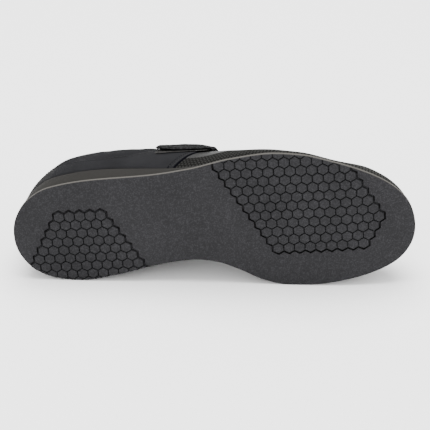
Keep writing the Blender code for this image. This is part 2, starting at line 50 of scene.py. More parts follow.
upWay = -Vector(mounts["heel_tread"]["axis"]).normalized()
toeWay = (foreSpot - heelSpot).normalized()
toeWay = (toeWay - upWay * toeWay.dot(upWay)).normalized()
turn = Matrix((toeWay, upWay.cross(toeWay), upWay)).transposed()
turnArray = np.array(turn)
originArray = np.array(heelSpot - toeWay * heelSpotAlong)


def toWorld(points):
    return np.asarray(points) @ turnArray.T + originArray


shoe = {
    "length": 0.300,
    "outsoleThickness": 0.0036,
    "heelRim": 0.0260,
    "forefootRim": 0.0072,
    "toeSpring": 0.0083,
    "springStart": 0.228,
    "upperLedge": 0.0020,
    "wall": 0.0025,
    "gap": 0.0003,
    "quarterStep": 0.0007,
    "throatTop": 0.1125,
    "throatFront": 0.192,
    "throatFrontWidth": 0.028,
    "throatEnd": 0.012,
    "waistWidth": 0.073,
}

# share of the length, half width in millimetres
outerEdge = [
    (0, -4.02), (0.005, 7.22), (0.019, 16.56), (0.045, 25.99), (0.106, 35.83), (0.213, 40.10),
    (0.35, 41.32), (0.455, 44.53), (0.558, 50.65), (0.65, 53.24), (0.726, 50.98), (0.8, 44.39),
    (0.876, 34.88), (0.941, 22.46), (0.984, 7.02), (1, -13.39),
]
innerEdge = [
    (0, 4.02), (0.01, 18.20), (0.047, 31.98), (0.103, 39.36), (0.164, 41.57), (0.258, 37.88),
    (0.353, 31.97), (0.445, 28.91), (0.504, 31.61), (0.563, 39.42), (0.621, 48.92), (0.681, 53.78),
    (0.741, 54.65), (0.831, 51.95), (0.892, 47.74), (0.952, 39.96), (0.986, 29.16), (1, 13.39),
]
# share of the length, share of the drop from the heel's rim to the forefoot's
rimDrop = [
    (0.00, 1.04), (0.21, 1.00), (0.335, 0.72), (0.40, 0.40), (0.44, 0.20), (0.475, 0.08),
    (0.52, 0.00), (1.00, 0.00),
]
# share of the length, height in millimetres
collarEdge = [(0, 90.0), (0.03, 89.1), (0.12, 79.5), (0.21, 75.0), (0.3, 79.5), (0.375, 97.0)]
# foot's share of the length, the ridge's along, height and side in millimetres, then lift, round
# and flare for the outer side, and for the inner
lastRows = [
    (0.00, 54.0, 130.00, 2.16, 0.45, 0.55, 0.04, 0.45, 0.55, 0.04),
    (0.05, 57.0, 130.00, 2.16, 0.45, 0.51, 0.01, 0.46, 0.52, 0.01),
    (0.12, 63.0, 131.30, 1.08, 0.46, 0.50, 0.00, 0.44, 0.48, 0.00),
    (0.22, 69.0, 130.00, 1.08, 0.50, 0.50, 0.02, 0.46, 0.50, 0.00),
    (0.30, 90.0, 124.15, 1.08, 0.51, 0.48, 0.03, 0.48, 0.52, 0.04),
    (0.40, 120.0, 105.00, 1.08, 0.54, 0.50, 0.04, 0.50, 0.52, 0.10),
    (0.50, 150.0, 86.10, 1.08, 0.53, 0.55, 0.02, 0.50, 0.55, 0.12),
    (0.60, 180.0, 70.35, 2.16, 0.46, 0.53, 0.01, 0.50, 0.52, 0.02),
    (0.70, 210.0, 61.00, 3.24, 0.39, 0.50, -0.01, 0.46, 0.55, 0.00),
    (0.80, 237.0, 53.07, 5.40, 0.36, 0.49, -0.01, 0.46, 0.58, 0.00),
    (0.90, 259.5, 49.05, 8.64, 0.60, 0.66, 0.02, 0.50, 0.60, 0.00),
    (1.00, 277.5, 44.10, 12.42, 0.70, 0.70, 0.02, 0.70, 0.70, 0.02),
]
lastMiddle = np.array((0.12, 0, 0.035))


def smoothCurve(rows):  # a smooth curve through the rows that doesn't overshoot
    places, values = np.array(rows, float).T
    steps = np.diff(places)
    slopes = np.diff(values) / steps
    bends = np.zeros_like(values)
    bends[0], bends[-1] = slopes[0], slopes[-1]
    before, after = slopes[:-1], slopes[1:]
    weightBefore = 2 * steps[1:] + steps[:-1]
    weightAfter = steps[1:] + 2 * steps[:-1]
    same = before * after > 0
    inner = np.zeros_like(before)
    inner[same] = (weightBefore + weightAfter)[same] / (
        weightBefore[same] / before[same] + weightAfter[same] / after[same]
    )
    bends[1:-1] = inner

    def at(place):
        place = np.clip(place, places[0], places[-1])
        i = np.clip(np.searchsorted(places, place, side="right") - 1, 0, len(steps) - 1)
        t = (place - places[i]) / steps[i]
        start = values[i] * (1 + 2 * t) * (1 - t) ** 2 + values[i + 1] * t * t * (3 - 2 * t)
        return start + (bends[i] * t * (1 - t) ** 2 - bends[i + 1] * t * t * (1 - t)) * steps[i]

    return at


def angleOf(share):
    return np.arccos(1 - 2 * np.clip(share, 0.0, 1.0))


def shareOf(angle):
    return (1 - np.cos(np.abs(angle))) / 2


def overAngle(rows, scale):
    return smoothCurve([(float(angleOf(place)), value * scale) for place, value in rows])


outerCurve = overAngle(outerEdge, 0.001)
innerCurve = overAngle(innerEdge, 0.001)
rimCurve = smoothCurve(rimDrop)
collarCurve = overAngle(collarEdge, 0.001)
lastNames = ("along", "height", "side", "outerLift", "outerRound", "outerFlare",
             "innerLift", "innerRound", "innerFlare")
lastScales = (0.001, 0.001, 0.001, 1, 1, shoe["waistWidth"], 1, 1, shoe["waistWidth"])
lastCurves = {
    name: overAngle([(row[0], row[i + 1]) for row in lastRows], lastScales[i])
    for i, name in enumerate(lastNames)
}


def springAt(x):
    past = np.maximum(0, (x - shoe["springStart"]) / (shoe["length"] - shoe["springStart"]))
    return shoe["toeSpring"] * past * past


def rimAt(x):
    drop = shoe["heelRim"] - shoe["forefootRim"]
    return shoe["forefootRim"] + drop * rimCurve(x / shoe["length"]) + springAt(x)


def edgeAt(angle):  # the sole's edge: negative angles on the outer side, positive on the inner
    angle = np.asarray(angle, float)
    angle = np.where(angle > np.pi, angle - 2 * np.pi, angle)
    angle = np.where(angle < -np.pi, angle + 2 * np.pi, angle)
    y = np.where(angle > 0, innerCurve(np.abs(angle)), -outerCurve(np.abs(angle)))
    return np.stack((shoe["length"] * shareOf(angle), y, np.zeros_like(y)), -1)


def insetAt(angle, inset):
    along = edgeAt(np.asarray(angle) + 0.02) - edgeAt(np.asarray(angle) - 0.02)
    inwards = np.stack((along[..., 1], -along[..., 0], np.zeros_like(along[..., 0])), -1)
    inwards /= np.linalg.norm(inwards, axis=-1, keepdims=True)
    return edgeAt(angle) + inwards * inset


def ridgeSlope(station):
    before, after = np.maximum(station - 0.05, 0), np.minimum(station + 0.05, np.pi)
    climb = lastCurves["height"](after) - lastCurves["height"](before)
    return climb / (lastCurves["along"](after) - lastCurves["along"](before))


def lastAt(angle, share):  # a point of the last at a share of the rib that starts at this angle
    angle, share = np.broadcast_arrays(np.asarray(angle, float), np.asarray(share, float))
    station = np.abs(angle)
    inner = angle > 0

    def pick(name):
        innerSide, outerSide = lastCurves["inner" + name], lastCurves["outer" + name]
        return np.where(inner, innerSide(station), outerSide(station))

    foot = insetAt(angle, shoe["upperLedge"])
    foot[..., 2] = rimAt(foot[..., 0]) + shoe["gap"]
    top = np.stack([lastCurves[name](station) for name in ("along", "side", "height")], -1)
    outwards = foot - top
    outwards[..., 2] = 0
    reach = np.linalg.norm(outwards, axis=-1)
    outwards /= reach[..., None]
    low = foot + outwards * pick("Flare")[..., None]
    low[..., 2] += (top[..., 2] - foot[..., 2]) * pick("Lift")
    high = top + outwards * (reach * pick("Round"))[..., None]
    high[..., 2] += ridgeSlope(station) * (high[..., 0] - top[..., 0])
    t = share[..., None]
    rest = 1 - t
    return foot * rest ** 3 + low * 3 * rest * rest * t + high * 3 * rest * t * t + top * t ** 3


def lastNormal(angle, share):
    step = 0.01
    up = lastAt(angle, np.minimum(share + step, 1)) - lastAt(angle, np.maximum(share - step, 0))
    normal = np.cross(lastAt(angle + step, share) - lastAt(angle - step, share), up)
    flip = np.sum(normal * (lastAt(angle, share) - lastMiddle), -1) < 0
    normal = np.where(flip[..., None], -normal, normal)
    normal[..., 1] = np.where(share > 0.995, 0, normal[..., 1])
    return normal / np.maximum(np.linalg.norm(normal, axis=-1, keepdims=True), 1e-12)


def shareWhere(angle, beyond):  # halving search along each rib
    low, high = np.full(angle.shape, 0.2), np.ones(angle.shape)
    for _ in range(26):
        middle = (low + high) / 2
        passed = beyond(lastAt(angle, middle))
        high = np.where(passed, middle, high)
        low = np.where(passed, low, middle)
    return high


def shareAtHeight(angle, height):
    return shareWhere(angle, lambda point: point[..., 2] > height)


def shareAtHalfWidth(angle, half):
    ridge = lastAt(angle, 1.0)[..., 1]
    return shareWhere(angle, lambda point: np.abs(point[..., 1] - ridge) < half)


throatCorner = float(angleOf(shoe["throatTop"] / shoe["length"]))
cornerHalf = {}
for way in (-1, 1):
    corner = np.array([way * throatCorner])
    there = lastAt(corner, shareAtHeight(corner, collarCurve(np.abs(corner))))
    cornerHalf[way] = float(abs(there[0, 1] - lastAt(corner, 1.0)[0, 1]))


def throatHalf(angle, x):
    topHalf = np.where(angle > 0, cornerHalf[1], cornerHalf[-1])
    down = np.clip((x - shoe["throatTop"]) / (shoe["throatFront"] - shoe["throatTop"]), 0, 1)
    return topHalf + (shoe["throatFrontWidth"] / 2 - topHalf) * np.sqrt(down)


def openingShare(angle):  # where a rib meets the edge of the collar or of the throat
    angle = np.asarray(angle, float)
    x = shoe["length"] * shareOf(angle)
    collar = shareAtHeight(angle, collarCurve(np.abs(angle)))
    toEnd = np.clip((shoe["throatFront"] - x) / shoe["throatEnd"], 0, 1)
    throat = shareAtHalfWidth(angle, throatHalf(angle, x) * np.sqrt(1 - (1 - toEnd) ** 2))
    share = np.where(x <= shoe["throatTop"], collar, throat)
    return np.where(x >= shoe["throatFront"], 1.0, share)


ribSamples = np.linspace(0, 1, 141)


def ribArcs(angle):  # each rib's length from its foot to even shares of it
    line = lastAt(angle[:, None], ribSamples[None, :])
    steps = np.linalg.norm(np.diff(line, axis=1), axis=2)
    return np.hstack((np.zeros((len(angle), 1)), np.cumsum(steps, axis=1)))


def arcAt(arcs, share):
    place = np.clip(share, 0, 1) * (len(ribSamples) - 1)
    low = np.minimum(place.astype(int), len(ribSamples) - 2)
    rows = np.arange(len(arcs))
    return arcs[rows, low] + (arcs[rows, low + 1] - arcs[rows, low]) * (place - low)


def ribShares(angle, start, distance):  # shares this far down each rib from the start shares
    arcs = ribArcs(angle)
    reach = arcAt(arcs, np.broadcast_to(start, angle.shape)) - distance
    return np.array([np.interp(far, arc, ribSamples) for far, arc in zip(reach, arcs)])


def ribDrop(angle, share, start):  # the distance down each rib from the start shares
    arcs = ribArcs(angle.ravel())
    return (arcAt(arcs, start.ravel()) - arcAt(arcs, share.ravel())).reshape(angle.shape)


def above(angle, share, height):
    return lastAt(angle, share) + lastNormal(angle, share) * np.asarray(height)[..., None]


def placeOnLast(x, w):  # angle and share at x and at w from the ridge, negative on the outer side
    x, w = np.broadcast_arrays(np.asarray(x, float), np.asarray(w, float))
    angle = np.where(w > 0, 1, -1) * np.maximum(angleOf(x / shoe["length"]), 1e-6)
    share = ribShares(angle.ravel(), 1.0, np.abs(w).ravel()).reshape(angle.shape)
    return angle, share


def onLast(x, w, height):
    angle, share = placeOnLast(x, w)
    return above(angle, share, np.broadcast_to(height, angle.shape))


def bell(value, width):
    return np.exp(-(value / width) ** 2)


def easeStep(value, low, high):
    t = np.clip((value - low) / (high - low), 0, 1)
    return t * t * (3 - 2 * t)


def quarterRound(value):  # rises from 0 to 1 as a quarter of a circle
    return np.sqrt(np.maximum(0, 1 - (1 - np.clip(value, 0, 1)) ** 2))


def edgeProfile(across, width, radius):  # 0 at both borders of a band, 1 inside their rounding
    return quarterRound(np.minimum(across, 1 - across) * width / radius)


def unit(vectors):
    return vectors / np.maximum(np.linalg.norm(vectors, axis=-1, keepdims=True), 1e-12)


def linked(name, data):
    made = bpy.data.objects.new(name, data)
    bpy.context.scene.collection.objects.link(made)
    return made


def meshPiece(name, points, faces, values, sharp=38, weld=0.0, slots=None):
    mesh = bpy.data.meshes.new(name)
    mesh.from_pydata(toWorld(points).tolist(), [], faces)
    for key, numbers in values.items():
        layer = mesh.attributes.new(key, "FLOAT", "POINT")
        layer.data.foreach_set("value", np.asarray(numbers, np.float32))
    if slots:
        mesh.polygons.foreach_set("material_index", slots)
    shape = bmesh.new()
    shape.from_mesh(mesh)
    loose = [corner for corner in shape.verts if not corner.link_faces]
    bmesh.ops.delete(shape, geom=loose, context="VERTS")
    if weld:
        bmesh.ops.remove_doubles(shape, verts=shape.verts, dist=weld)
    bmesh.ops.recalc_face_normals(shape, faces=shape.faces)
    shape.to_mesh(mesh)
    shape.free()
    mesh.shade_smooth()
    mesh.set_sharp_from_angle(angle=math.radians(sharp))
    return linked(name, mesh)


def gridPart(grid, closed=False, caps=False, **values):  # points, faces and point values of a grid
    rows, columns = grid.shape[:2]
    i = np.arange(rows - 1)[:, None]
    j = np.arange(columns if closed else columns - 1)[None, :]
    a, b = i * columns + j, i * columns + (j + 1) % columns
    faces = np.stack((a, b, b + columns, a + columns), -1).reshape(-1, 4).tolist()
    if caps:
        faces += [list(range(columns))[::-1], list(range((rows - 1) * columns, rows * columns))]
    spread = {key: np.broadcast_to(value, (rows, columns)).ravel() for key, value in values.items()}
    return grid.reshape(-1, 3), faces, spread


def joined(parts):  # one set of points, faces and point values from several
    faces, start = [], 0
    for points, partFaces, _ in parts:
        faces += [[corner + start for corner in face] for face in partFaces]
        start += len(points)
    values = {key: np.concatenate([part[2][key] for part in parts]) for key in parts[0][2]}
    return np.vstack([part[0] for part in parts]), faces, values


def band(name, top, under, **values):  # a closed skin round a top and an under surface
    rings = np.concatenate((top, under[:, ::-1]), axis=1)
    return meshPiece(name, *gridPart(rings, closed=True, caps=True, **values), sharp=50)


def finishPiece(piece, node=None, materials=()):
    for material in materials:
        piece.data.materials.append(material)
    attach(piece, "root")
    if node:
        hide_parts(node)


def newMaterial(name):
    made = bpy.data.materials.new(name)
    made.use_nodes = True
    return made, made.node_tree, made.node_tree.nodes["Principled BSDF"]


def feed(tree, socket, value):  # a link, or a constant straight on the socket
    if isinstance(value, bpy.types.NodeSocket):
        tree.links.new(value, socket)
    elif isinstance(value, tuple):
        socket.default_value = (*value, 1)
    else:
        socket.default_value = (value, value, value, 1) if socket.type == "RGBA" else value


def addNode(tree, kind, **values):
    node = tree.nodes.new(kind)
    for key, value in values.items():
        if key.startswith("in_"):
            node.inputs[key[3:].replace("_", " ")].default_value = value
        else:
            setattr(node, key, value)
    return node


def texture(tree, kind, **values):  # a texture laid out in the object's own coordinates
    node = addNode(tree, kind, **values)
    place = tree.nodes.new("ShaderNodeTexCoord")
    tree.links.new(place.outputs["Object"], node.inputs["Vector"])
    return node


def maths(tree, operation, *values):
    node = addNode(tree, "ShaderNodeMath", operation=operation)
    for socket, value in zip(node.inputs, values):
        feed(tree, socket, value)
    return node.outputs[0]


def mixColour(tree, factor, first, second, blend="MIX"):
    node = addNode(tree, "ShaderNodeMix", data_type="RGBA", blend_type=blend)
    sockets = {s.identifier: s for s in node.inputs}
    for key, value in (("Factor_Float", factor), ("A_Color", first), ("B_Color", second)):
        feed(tree, sockets[key], value)
    return {s.identifier: s for s in node.outputs}["Result_Color"]


def toned(tree, colour, tone):
    return mixColour(tree, 1.0, colour, tone, "MULTIPLY")


def ramp(tree, factor, low, high, values=(0.0, 1.0)):
    node = addNode(tree, "ShaderNodeMapRange", in_From_Min=low, in_From_Max=high,
                   in_To_Min=values[0], in_To_Max=values[1])
    tree.links.new(factor, node.inputs["Value"])
    return node.outputs["Result"]


def attribute(tree, name):
    return addNode(tree, "ShaderNodeAttribute", attribute_name=name).outputs["Fac"]


def coat(tree, shader, colour, rough, shine, height, strength, distance):
    for key, value in (("Base Color", colour), ("Roughness", rough), ("Specular IOR Level", shine)):
        feed(tree, shader.inputs[key], value)
    bump = addNode(tree, "ShaderNodeBump", in_Strength=strength, in_Distance=distance)
    tree.links.new(height, bump.inputs["Height"])
    tree.links.new(bump.outputs["Normal"], shader.inputs["Normal"])


def makeGroup(name, kind, inputs, outputs):  # sockets as name, type and, for an input, its value
    group = bpy.data.node_groups.new(name, kind)
    for key, socketKind, value in inputs:
        socket = group.interface.new_socket(name=key, in_out="INPUT", socket_type=socketKind)
        if value is not None:
            socket.default_value = value
    for key, socketKind in outputs:
        group.interface.new_socket(name=key, in_out="OUTPUT", socket_type=socketKind)
    return group, group.nodes.new("NodeGroupInput"), group.nodes.new("NodeGroupOutput")


def useGroup(tree, group, **values):
    node = addNode(tree, "ShaderNodeGroup", node_tree=group)
    for key, value in values.items():
        feed(tree, node.inputs[key.replace("_", " ")], value)
    return node.outputs


def pebbleGroup():  # moulded rubber's fine pebble grain
    group, inside, outside = makeGroup(
        "pebble grain", "ShaderNodeTree",
        [("Grain", "NodeSocketFloat", 900.0)],
        [("Height", "NodeSocketFloat"), ("Mottle", "NodeSocketFloat")],
    )
    cells = texture(group, "ShaderNodeTexVoronoi", feature="SMOOTH_F1", in_Smoothness=0.6)
    soft = texture(group, "ShaderNodeTexNoise", in_Scale=420.0, in_Detail=3.0)
    broad = texture(group, "ShaderNodeTexNoise", in_Scale=26.0, in_Detail=4.0)
    group.links.new(inside.outputs["Grain"], cells.inputs["Scale"])
    bumps = maths(group, "SUBTRACT", 1.0, cells.outputs["Distance"])
    height = maths(group, "MULTIPLY_ADD", soft.outputs[0], 0.5, bumps)
    mottle = maths(group, "MULTIPLY_ADD", broad.outputs[0], 0.6,
                   maths(group, "MULTIPLY", soft.outputs[0], 0.4))
    group.links.new(height, outside.inputs["Height"])
    group.links.new(mottle, outside.inputs["Mottle"])
    return group


def weaveGroup():  # small raised cells in rows, from two lengths along the cloth
    group, inside, outside = makeGroup(
        "woven cells", "ShaderNodeTree",
        [("Along", "NodeSocketFloat", 0.0), ("Across", "NodeSocketFloat", 0.0),
         ("Pitch Along", "NodeSocketFloat", 0.002), ("Pitch Across", "NodeSocketFloat", 0.0015),
         ("Slant", "NodeSocketFloat", 0.0)],
        [("Height", "NodeSocketFloat")],
    )
    out = inside.outputs
    slanted = maths(group, "MULTIPLY_ADD", out["Across"], out["Slant"], out["Along"])
    row = maths(group, "DIVIDE", out["Across"], out["Pitch Across"])
    odd = maths(group, "MULTIPLY", maths(group, "MODULO", maths(group, "FLOOR", row), 2.0), 0.5)
    column = maths(group, "ADD", maths(group, "DIVIDE", slanted, out["Pitch Along"]), odd)

    def hump(value):
        return maths(group, "SINE", maths(group, "MULTIPLY", maths(group, "FRACT", value), math.pi))

    height = maths(group, "MAXIMUM", maths(group, "MULTIPLY", hump(column), hump(row)), 0.0)
    group.links.new(maths(group, "POWER", height, 0.5), outside.inputs["Height"])
    return group


pebble = pebbleGroup()
weave = weaveGroup()


def woven(tree, along, across, pitchAlong, pitchAcross, slant=0.0):  # from two attributes
    return useGroup(tree, weave, Along=attribute(tree, along), Across=attribute(tree, across),
                    Pitch_Along=pitchAlong, Pitch_Across=pitchAcross, Slant=slant)["Height"]


outsoleLook = {
    "face": (0.0225, 0.0222, 0.0242),
    # edge: the lighter colour of the top-facing sidewall band, a painted highlight for the light
    # falling on it
    "edge": (0.053, 0.050, 0.045),
    # groove: the near-black colour of the groove floors between the tread cells, painted shade
    "groove": (0.0012, 0.0012, 0.0012),
    "grain": 980.0,
    "rough": 0.72,
    "shine": 0.12,
    "bump": (0.8, 0.00030),
    "pitch": 0.00788,
    "originAlong": 0.210,
    "originOut": 0.0118,
    "groundHeight": 0.0008,
    "grooveFloor": 0.0022,
    "grooveWidth": 0.00075,
    "borderGroove": 0.0012,
    "around": 560,
    "groundGrid": 0.0034,
    "groundClear": 0.002,
    "outlineInset": 0.0003,
    "cellTrim": 0.0002,
    "trimReach": 0.0085,
    # inset and height of each ring of a cell
    "cellRings": [(0.0, 0.0022), (0.0, 0.00030), (0.00009, 0.00009), (0.00030, 0.0)],
    # inset and height of each ring of the edge band
    "bandRings": [(0.0003, 0.0008), (0.0001, 0.00095), (0.0, 0.0013), (0.0, 0.0030),
                  (0.0002, 0.00345), (0.0006, 0.0036), (0.0060, 0.0036)],
}


def treadCells():  # the middles of the forefoot pad's cells, then of the heel pad's
    look = outsoleLook
    spots = [(column, row) for row in range(-6, 6)
             for column in range(row - 8, min(14 + row, 18 - row) + 1, 2)]
    spots += [(column, row) for row in range(11) for column in range(-44 - row, row - 35, 2)]
    return [(look["originAlong"] + column * look["pitch"] / 2,
             row * look["pitch"] * math.sqrt(3) / 2 - look["originOut"]) for column, row in spots]


def hexAt(middle, innerRadius):
    corner = innerRadius * 2 / math.sqrt(3)
    return [(middle[0] - corner * math.sin(math.radians(60 * k)),
             middle[1] + corner * math.cos(math.radians(60 * k))) for k in range(6)]


def clipConvex(polygon, point, inwards):  # keeps the part of a polygon on one side of a line
    kept = []
    sides = [(p[0] - point[0]) * inwards[0] + (p[1] - point[1]) * inwards[1] for p in polygon]
    for i, here in enumerate(polygon):
        there = polygon[(i + 1) % len(polygon)]
        a, b = sides[i], sides[(i + 1) % len(polygon)]
        if a >= 0:
            kept.append(here)
        if a * b < 0:
            t = a / (a - b)
            kept.append((here[0] + (there[0] - here[0]) * t, here[1] + (there[1] - here[1]) * t))
    return kept


def shrinkConvex(polygon, amount):
    middle = np.mean(polygon, axis=0)
    shrunk = list(polygon)
    for i, here in enumerate(polygon):
        there = polygon[(i + 1) % len(polygon)]
        across = unit(np.array((here[1] - there[1], there[0] - here[0])))
        if np.dot(middle - here, across) < 0:
            across = -across
        shrunk = clipConvex(shrunk, np.array(here) + across * amount, across)
        if len(shrunk) < 3:
            return []
    return shrunk


def insideRing(ring, spots):
    following = np.roll(ring, -1, axis=0)
    x, y = spots[:, :1], spots[:, 1:]
    crosses = (ring[:, 1] > y) != (following[:, 1] > y)
    with np.errstate(divide="ignore", invalid="ignore"):
        slope = (following[:, 0] - ring[:, 0]) / (following[:, 1] - ring[:, 1])
        crossing = ring[:, 0] + (y - ring[:, 1]) * slope
    return np.sum(crosses & (crossing > x), axis=1) % 2 == 1


def treadGround(outline, cells):  # round the pads, with their lower floor and the wall between
    look = outsoleLook
    hexes = [hexAt(middle, look["pitch"] / 2 + look["borderGroove"]) for middle in cells]
    step = look["groundGrid"]
    spots = np.array([(x, y) for x in np.arange(0, shoe["length"], step)
                      for y in np.arange(-0.056, 0.058, step)])
    clear = np.min(np.linalg.norm(spots[:, None] - outline, axis=2), axis=1) > look["groundClear"]
    spots = spots[clear & insideRing(outline, spots)]
    count = len(outline)
    borders = [list(range(count))[::-1]]
    borders += [list(range(start, start + 6)) for start in range(count, count + 6 * len(hexes), 6)]
    points = [Vector(p) for p in (*outline, *np.reshape(hexes, (-1, 2)), *spots)]
    made = geometry.delaunay_2d_cdt(points, [], borders, 1, 1e-6)
    flat = np.array([tuple(v) for v in made[0]])
    ground = [t for t, s in zip(made[2], made[5]) if 0 in s and len(s) == 1]
    pads = [t for t, s in zip(made[2], made[5]) if 0 in s and len(s) > 1]
    padEdges = {frozenset(pair) for t in pads for pair in zip(t, t[1:] + t[:1])}
    count = len(flat)
    walls = [[a, b, b + count, a + count] for t in ground for a, b in zip(t, t[1:] + t[:1])
             if frozenset((a, b)) in padEdges]
    # the pads' lower floor and the walls down to it take the painted shade of the grooves
    groove = np.zeros(2 * count)
    groove[[corner for wall in walls for corner in wall[2:]]] = 1.0
    heights = np.repeat((look["groundHeight"], look["grooveFloor"]), count)
    faces = ground + [[corner + count for corner in t] for t in pads] + walls
    points = np.c_[np.vstack((flat, flat)), heights]
    return points, faces, {"edgeBand": 0 * groove, "groove": groove}


def treadCell(polygon):
    rings = []
    for inset, height in outsoleLook["cellRings"]:
        ring = shrinkConvex(polygon, inset) if inset else polygon
        if len(ring) != len(polygon):
            break
        rings.append(np.c_[ring, np.full(len(ring), height)])
    points, faces, values = gridPart(np.array(rings), closed=True, edgeBand=0.0, groove=0.0)
    faces.append(list(range(len(points) - len(polygon), len(points))))
    return points, faces, values


def makeOutsole():
    look = outsoleLook
    around = np.linspace(-np.pi, np.pi, look["around"], endpoint=False)
    outline = insetAt(around, look["outlineInset"])[:, :2]
    flush = insetAt(around, look["cellTrim"])[:, :2]
    along = np.roll(flush, -1, axis=0) - flush
    inwards = unit(np.stack((along[:, 1], -along[:, 0]), -1))
    cells = treadCells()
    parts = [treadGround(outline, cells)]
    for middle in cells:
        polygon = hexAt(middle, (look["pitch"] - look["grooveWidth"]) / 2)
        near = np.where(np.linalg.norm(flush - middle, axis=1) < look["trimReach"])[0]
        for i in near:
            if len(polygon) >= 3:
                polygon = clipConvex(polygon, flush[i], inwards[i])
        if len(polygon) >= 3 and (len(near) or insideRing(outline, np.array([middle]))[0]):
            parts.append(treadCell(polygon))
    rings = [insetAt(around, inset) + (0, 0, height) for inset, height in look["bandRings"]]
    # every ring above the first carries the sidewall's painted highlight
    onEdgeHighlight = (np.arange(len(rings)) > 0)[:, None]
    parts.append(gridPart(np.array(rings), closed=True, edgeBand=onEdgeHighlight, groove=0.0))
    points, faces, values = joined(parts)
    points[:, 2] += springAt(points[:, 0])
    return meshPiece("outsole_rubber", points, faces, values)


def outsoleMaterial():
    look = outsoleLook
    made, tree, shader = newMaterial("moulded outsole rubber")
    grain = useGroup(tree, pebble, Grain=look["grain"])
    tone = maths(tree, "MULTIPLY", ramp(tree, grain["Mottle"], 0.35, 0.65, (0.82, 1.14)),
                 ramp(tree, grain["Height"], 0.7, 1.25, (0.62, 1.30)))
    # the sidewall band takes the lighter edge colour as a painted highlight
    onEdgeHighlight = ramp(tree, attribute(tree, "edgeBand"), 0.3, 0.7)
    # the groove floors take the near-black painted shade
    inGrooveShade = ramp(tree, attribute(tree, "groove"), 0.1, 0.5)
    colour = mixColour(tree, onEdgeHighlight, toned(tree, look["face"], tone), look["edge"])
    colour = mixColour(tree, inGrooveShade, colour, look["groove"])
    coat(tree, shader, colour, look["rough"], look["shine"], grain["Height"], *look["bump"])
    return made


outsole = makeOutsole()
finishPiece(outsole, "outsole", [outsoleMaterial()])
print("outsole", len(outsole.data.polygons))

midsoleLook = {
    "colour": (0.0143, 0.0136, 0.0126),
    "grain": 1900.0,
    "rough": 0.75,
    "shine": 0.03,
    "bump": (0.40, 0.00012),
    "around": 560,
    "lift": 0.00005,
    # share of the height, inset in millimetres
    "profile": [
        (0.00, 6.0), (0.00, 1.35), (0.035, 1.02), (0.10, 0.86), (0.30, 0.80), (0.55, 0.95),
        (0.80, 1.22), (0.90, 1.38), (0.955, 1.60), (0.99, 2.10), (1.0, 3.0), (1.0, 8.0),
    ],
}


def makeMidsole():
    look = midsoleLook
    around = np.linspace(-np.pi, np.pi, look["around"], endpoint=False)
    rings = []
    for share, inset in look["profile"]:
        ring = insetAt(around, inset * 0.001)
        bottom = shoe["outsoleThickness"] + look["lift"] + springAt(ring[:, 0])
        ring[:, 2] = bottom + (rimAt(ring[:, 0]) - bottom) * share
        rings.append(ring)
    return meshPiece("midsole_wedge", *gridPart(np.array(rings), closed=True))


def midsoleMaterial():
    look = midsoleLook
    made, tree, shader = newMaterial("dense midsole")
    grain = useGroup(tree, pebble, Grain=look["grain"])
    colour = toned(tree, look["colour"], ramp(tree, grain["Mottle"], 0.35, 0.65, (0.90, 1.08)))
    coat(tree, shader, colour, look["rough"], look["shine"], grain["Height"], *look["bump"])
    return made


midsole = makeMidsole()
finishPiece(midsole, "midsole", [midsoleMaterial()])
print("midsole", len(midsole.data.polygons))

upperLook = {
    "stations": 250,
    "rows": 60,
    "quarter": (0.0108, 0.0108, 0.0118),
    "heel": (0.0142, 0.0141, 0.0144),
    "mesh": (0.0098, 0.0097, 0.0091),
    "toeLight": 1.75,
    "toeRange": (0.055, 0.110),
    "film": (0.0156, 0.0153, 0.0148),
    "filmFoot": 0.0190,
    "filmRise": 0.030,
    "filmReach": 0.050,
    "lining": (0.0140, 0.0140, 0.0148),
    "heelRange": (0.052, 0.048),
    "rough": (0.86, 0.52),
    "bump": (0.65, 0.00040),
    # pitch round the foot, pitch up the rib, and slant
    "meshCells": (0.0026, 0.0040, 0.25),
    "plainCells": (0.0010, 0.0008),
    "knitCells": (0.0021, 0.0011, 0.9),
    "liningCells": (0.0016, 0.0014),
    "seam": 0.1242,
    "seamLean": 0.034,
    "seamReach": 0.066,
    "seamDark": (0.002, 0.002, 0.003),
    # each dark line's place ahead of the seam, and its half width where it begins and is full
    "seamLines": [(0.0002, 0.0010, 0.0007), (-0.0046, 0.0006, 0.0004)],
    "stepWidth": 0.0009,
    "edgeRound": 0.0011,
    "collarRange": (0.085, 0.112),
    # height, place below the collar's edge and reach: outside, then inside
    "collarPads": [(0.0007, 0.012, 0.009), (-0.0006, 0.027, 0.0035)],
    "liningPad": (0.0030, 0.010, 0.010),
    # depth and reach of the thinning at the bound edge, outside and inside, and at the foot
    "edgeDip": (0.0012, 0.0012),
    "liningDip": (0.0010, 0.0015),
    "footDip": (0.0005, 0.0012),
    # side, where each crease runs as place and share of the rib, width and depth in millimetres
    "creases": [
        (-1, [(0.196, 0.93), (0.206, 0.60), (0.214, 0.38)], 2.6, 0.50),
        (-1, [(0.214, 0.98), (0.222, 0.70), (0.226, 0.50)], 2.2, 0.38),
        (-1, [(0.176, 0.62), (0.186, 0.45), (0.197, 0.33)], 2.4, 0.32),
        (-1, [(0.052, 0.52), (0.066, 0.34), (0.070, 0.20)], 3.4, 0.28),
        (-1, [(0.098, 0.50), (0.090, 0.36), (0.088, 0.22)], 3.0, 0.22),
        (1, [(0.200, 0.95), (0.209, 0.62), (0.216, 0.36)], 2.6, 0.50),
        (1, [(0.219, 0.97), (0.226, 0.72), (0.231, 0.48)], 2.2, 0.38),
        (1, [(0.180, 0.66), (0.187, 0.48), (0.196, 0.32)], 2.4, 0.34),
        (1, [(0.050, 0.55), (0.062, 0.36), (0.068, 0.22)], 3.2, 0.42),
        (1, [(0.112, 0.60), (0.124, 0.44), (0.132, 0.30)], 3.0, 0.40),
    ],
}
throatAngle = float(angleOf(shoe["throatFront"] / shoe["length"]))


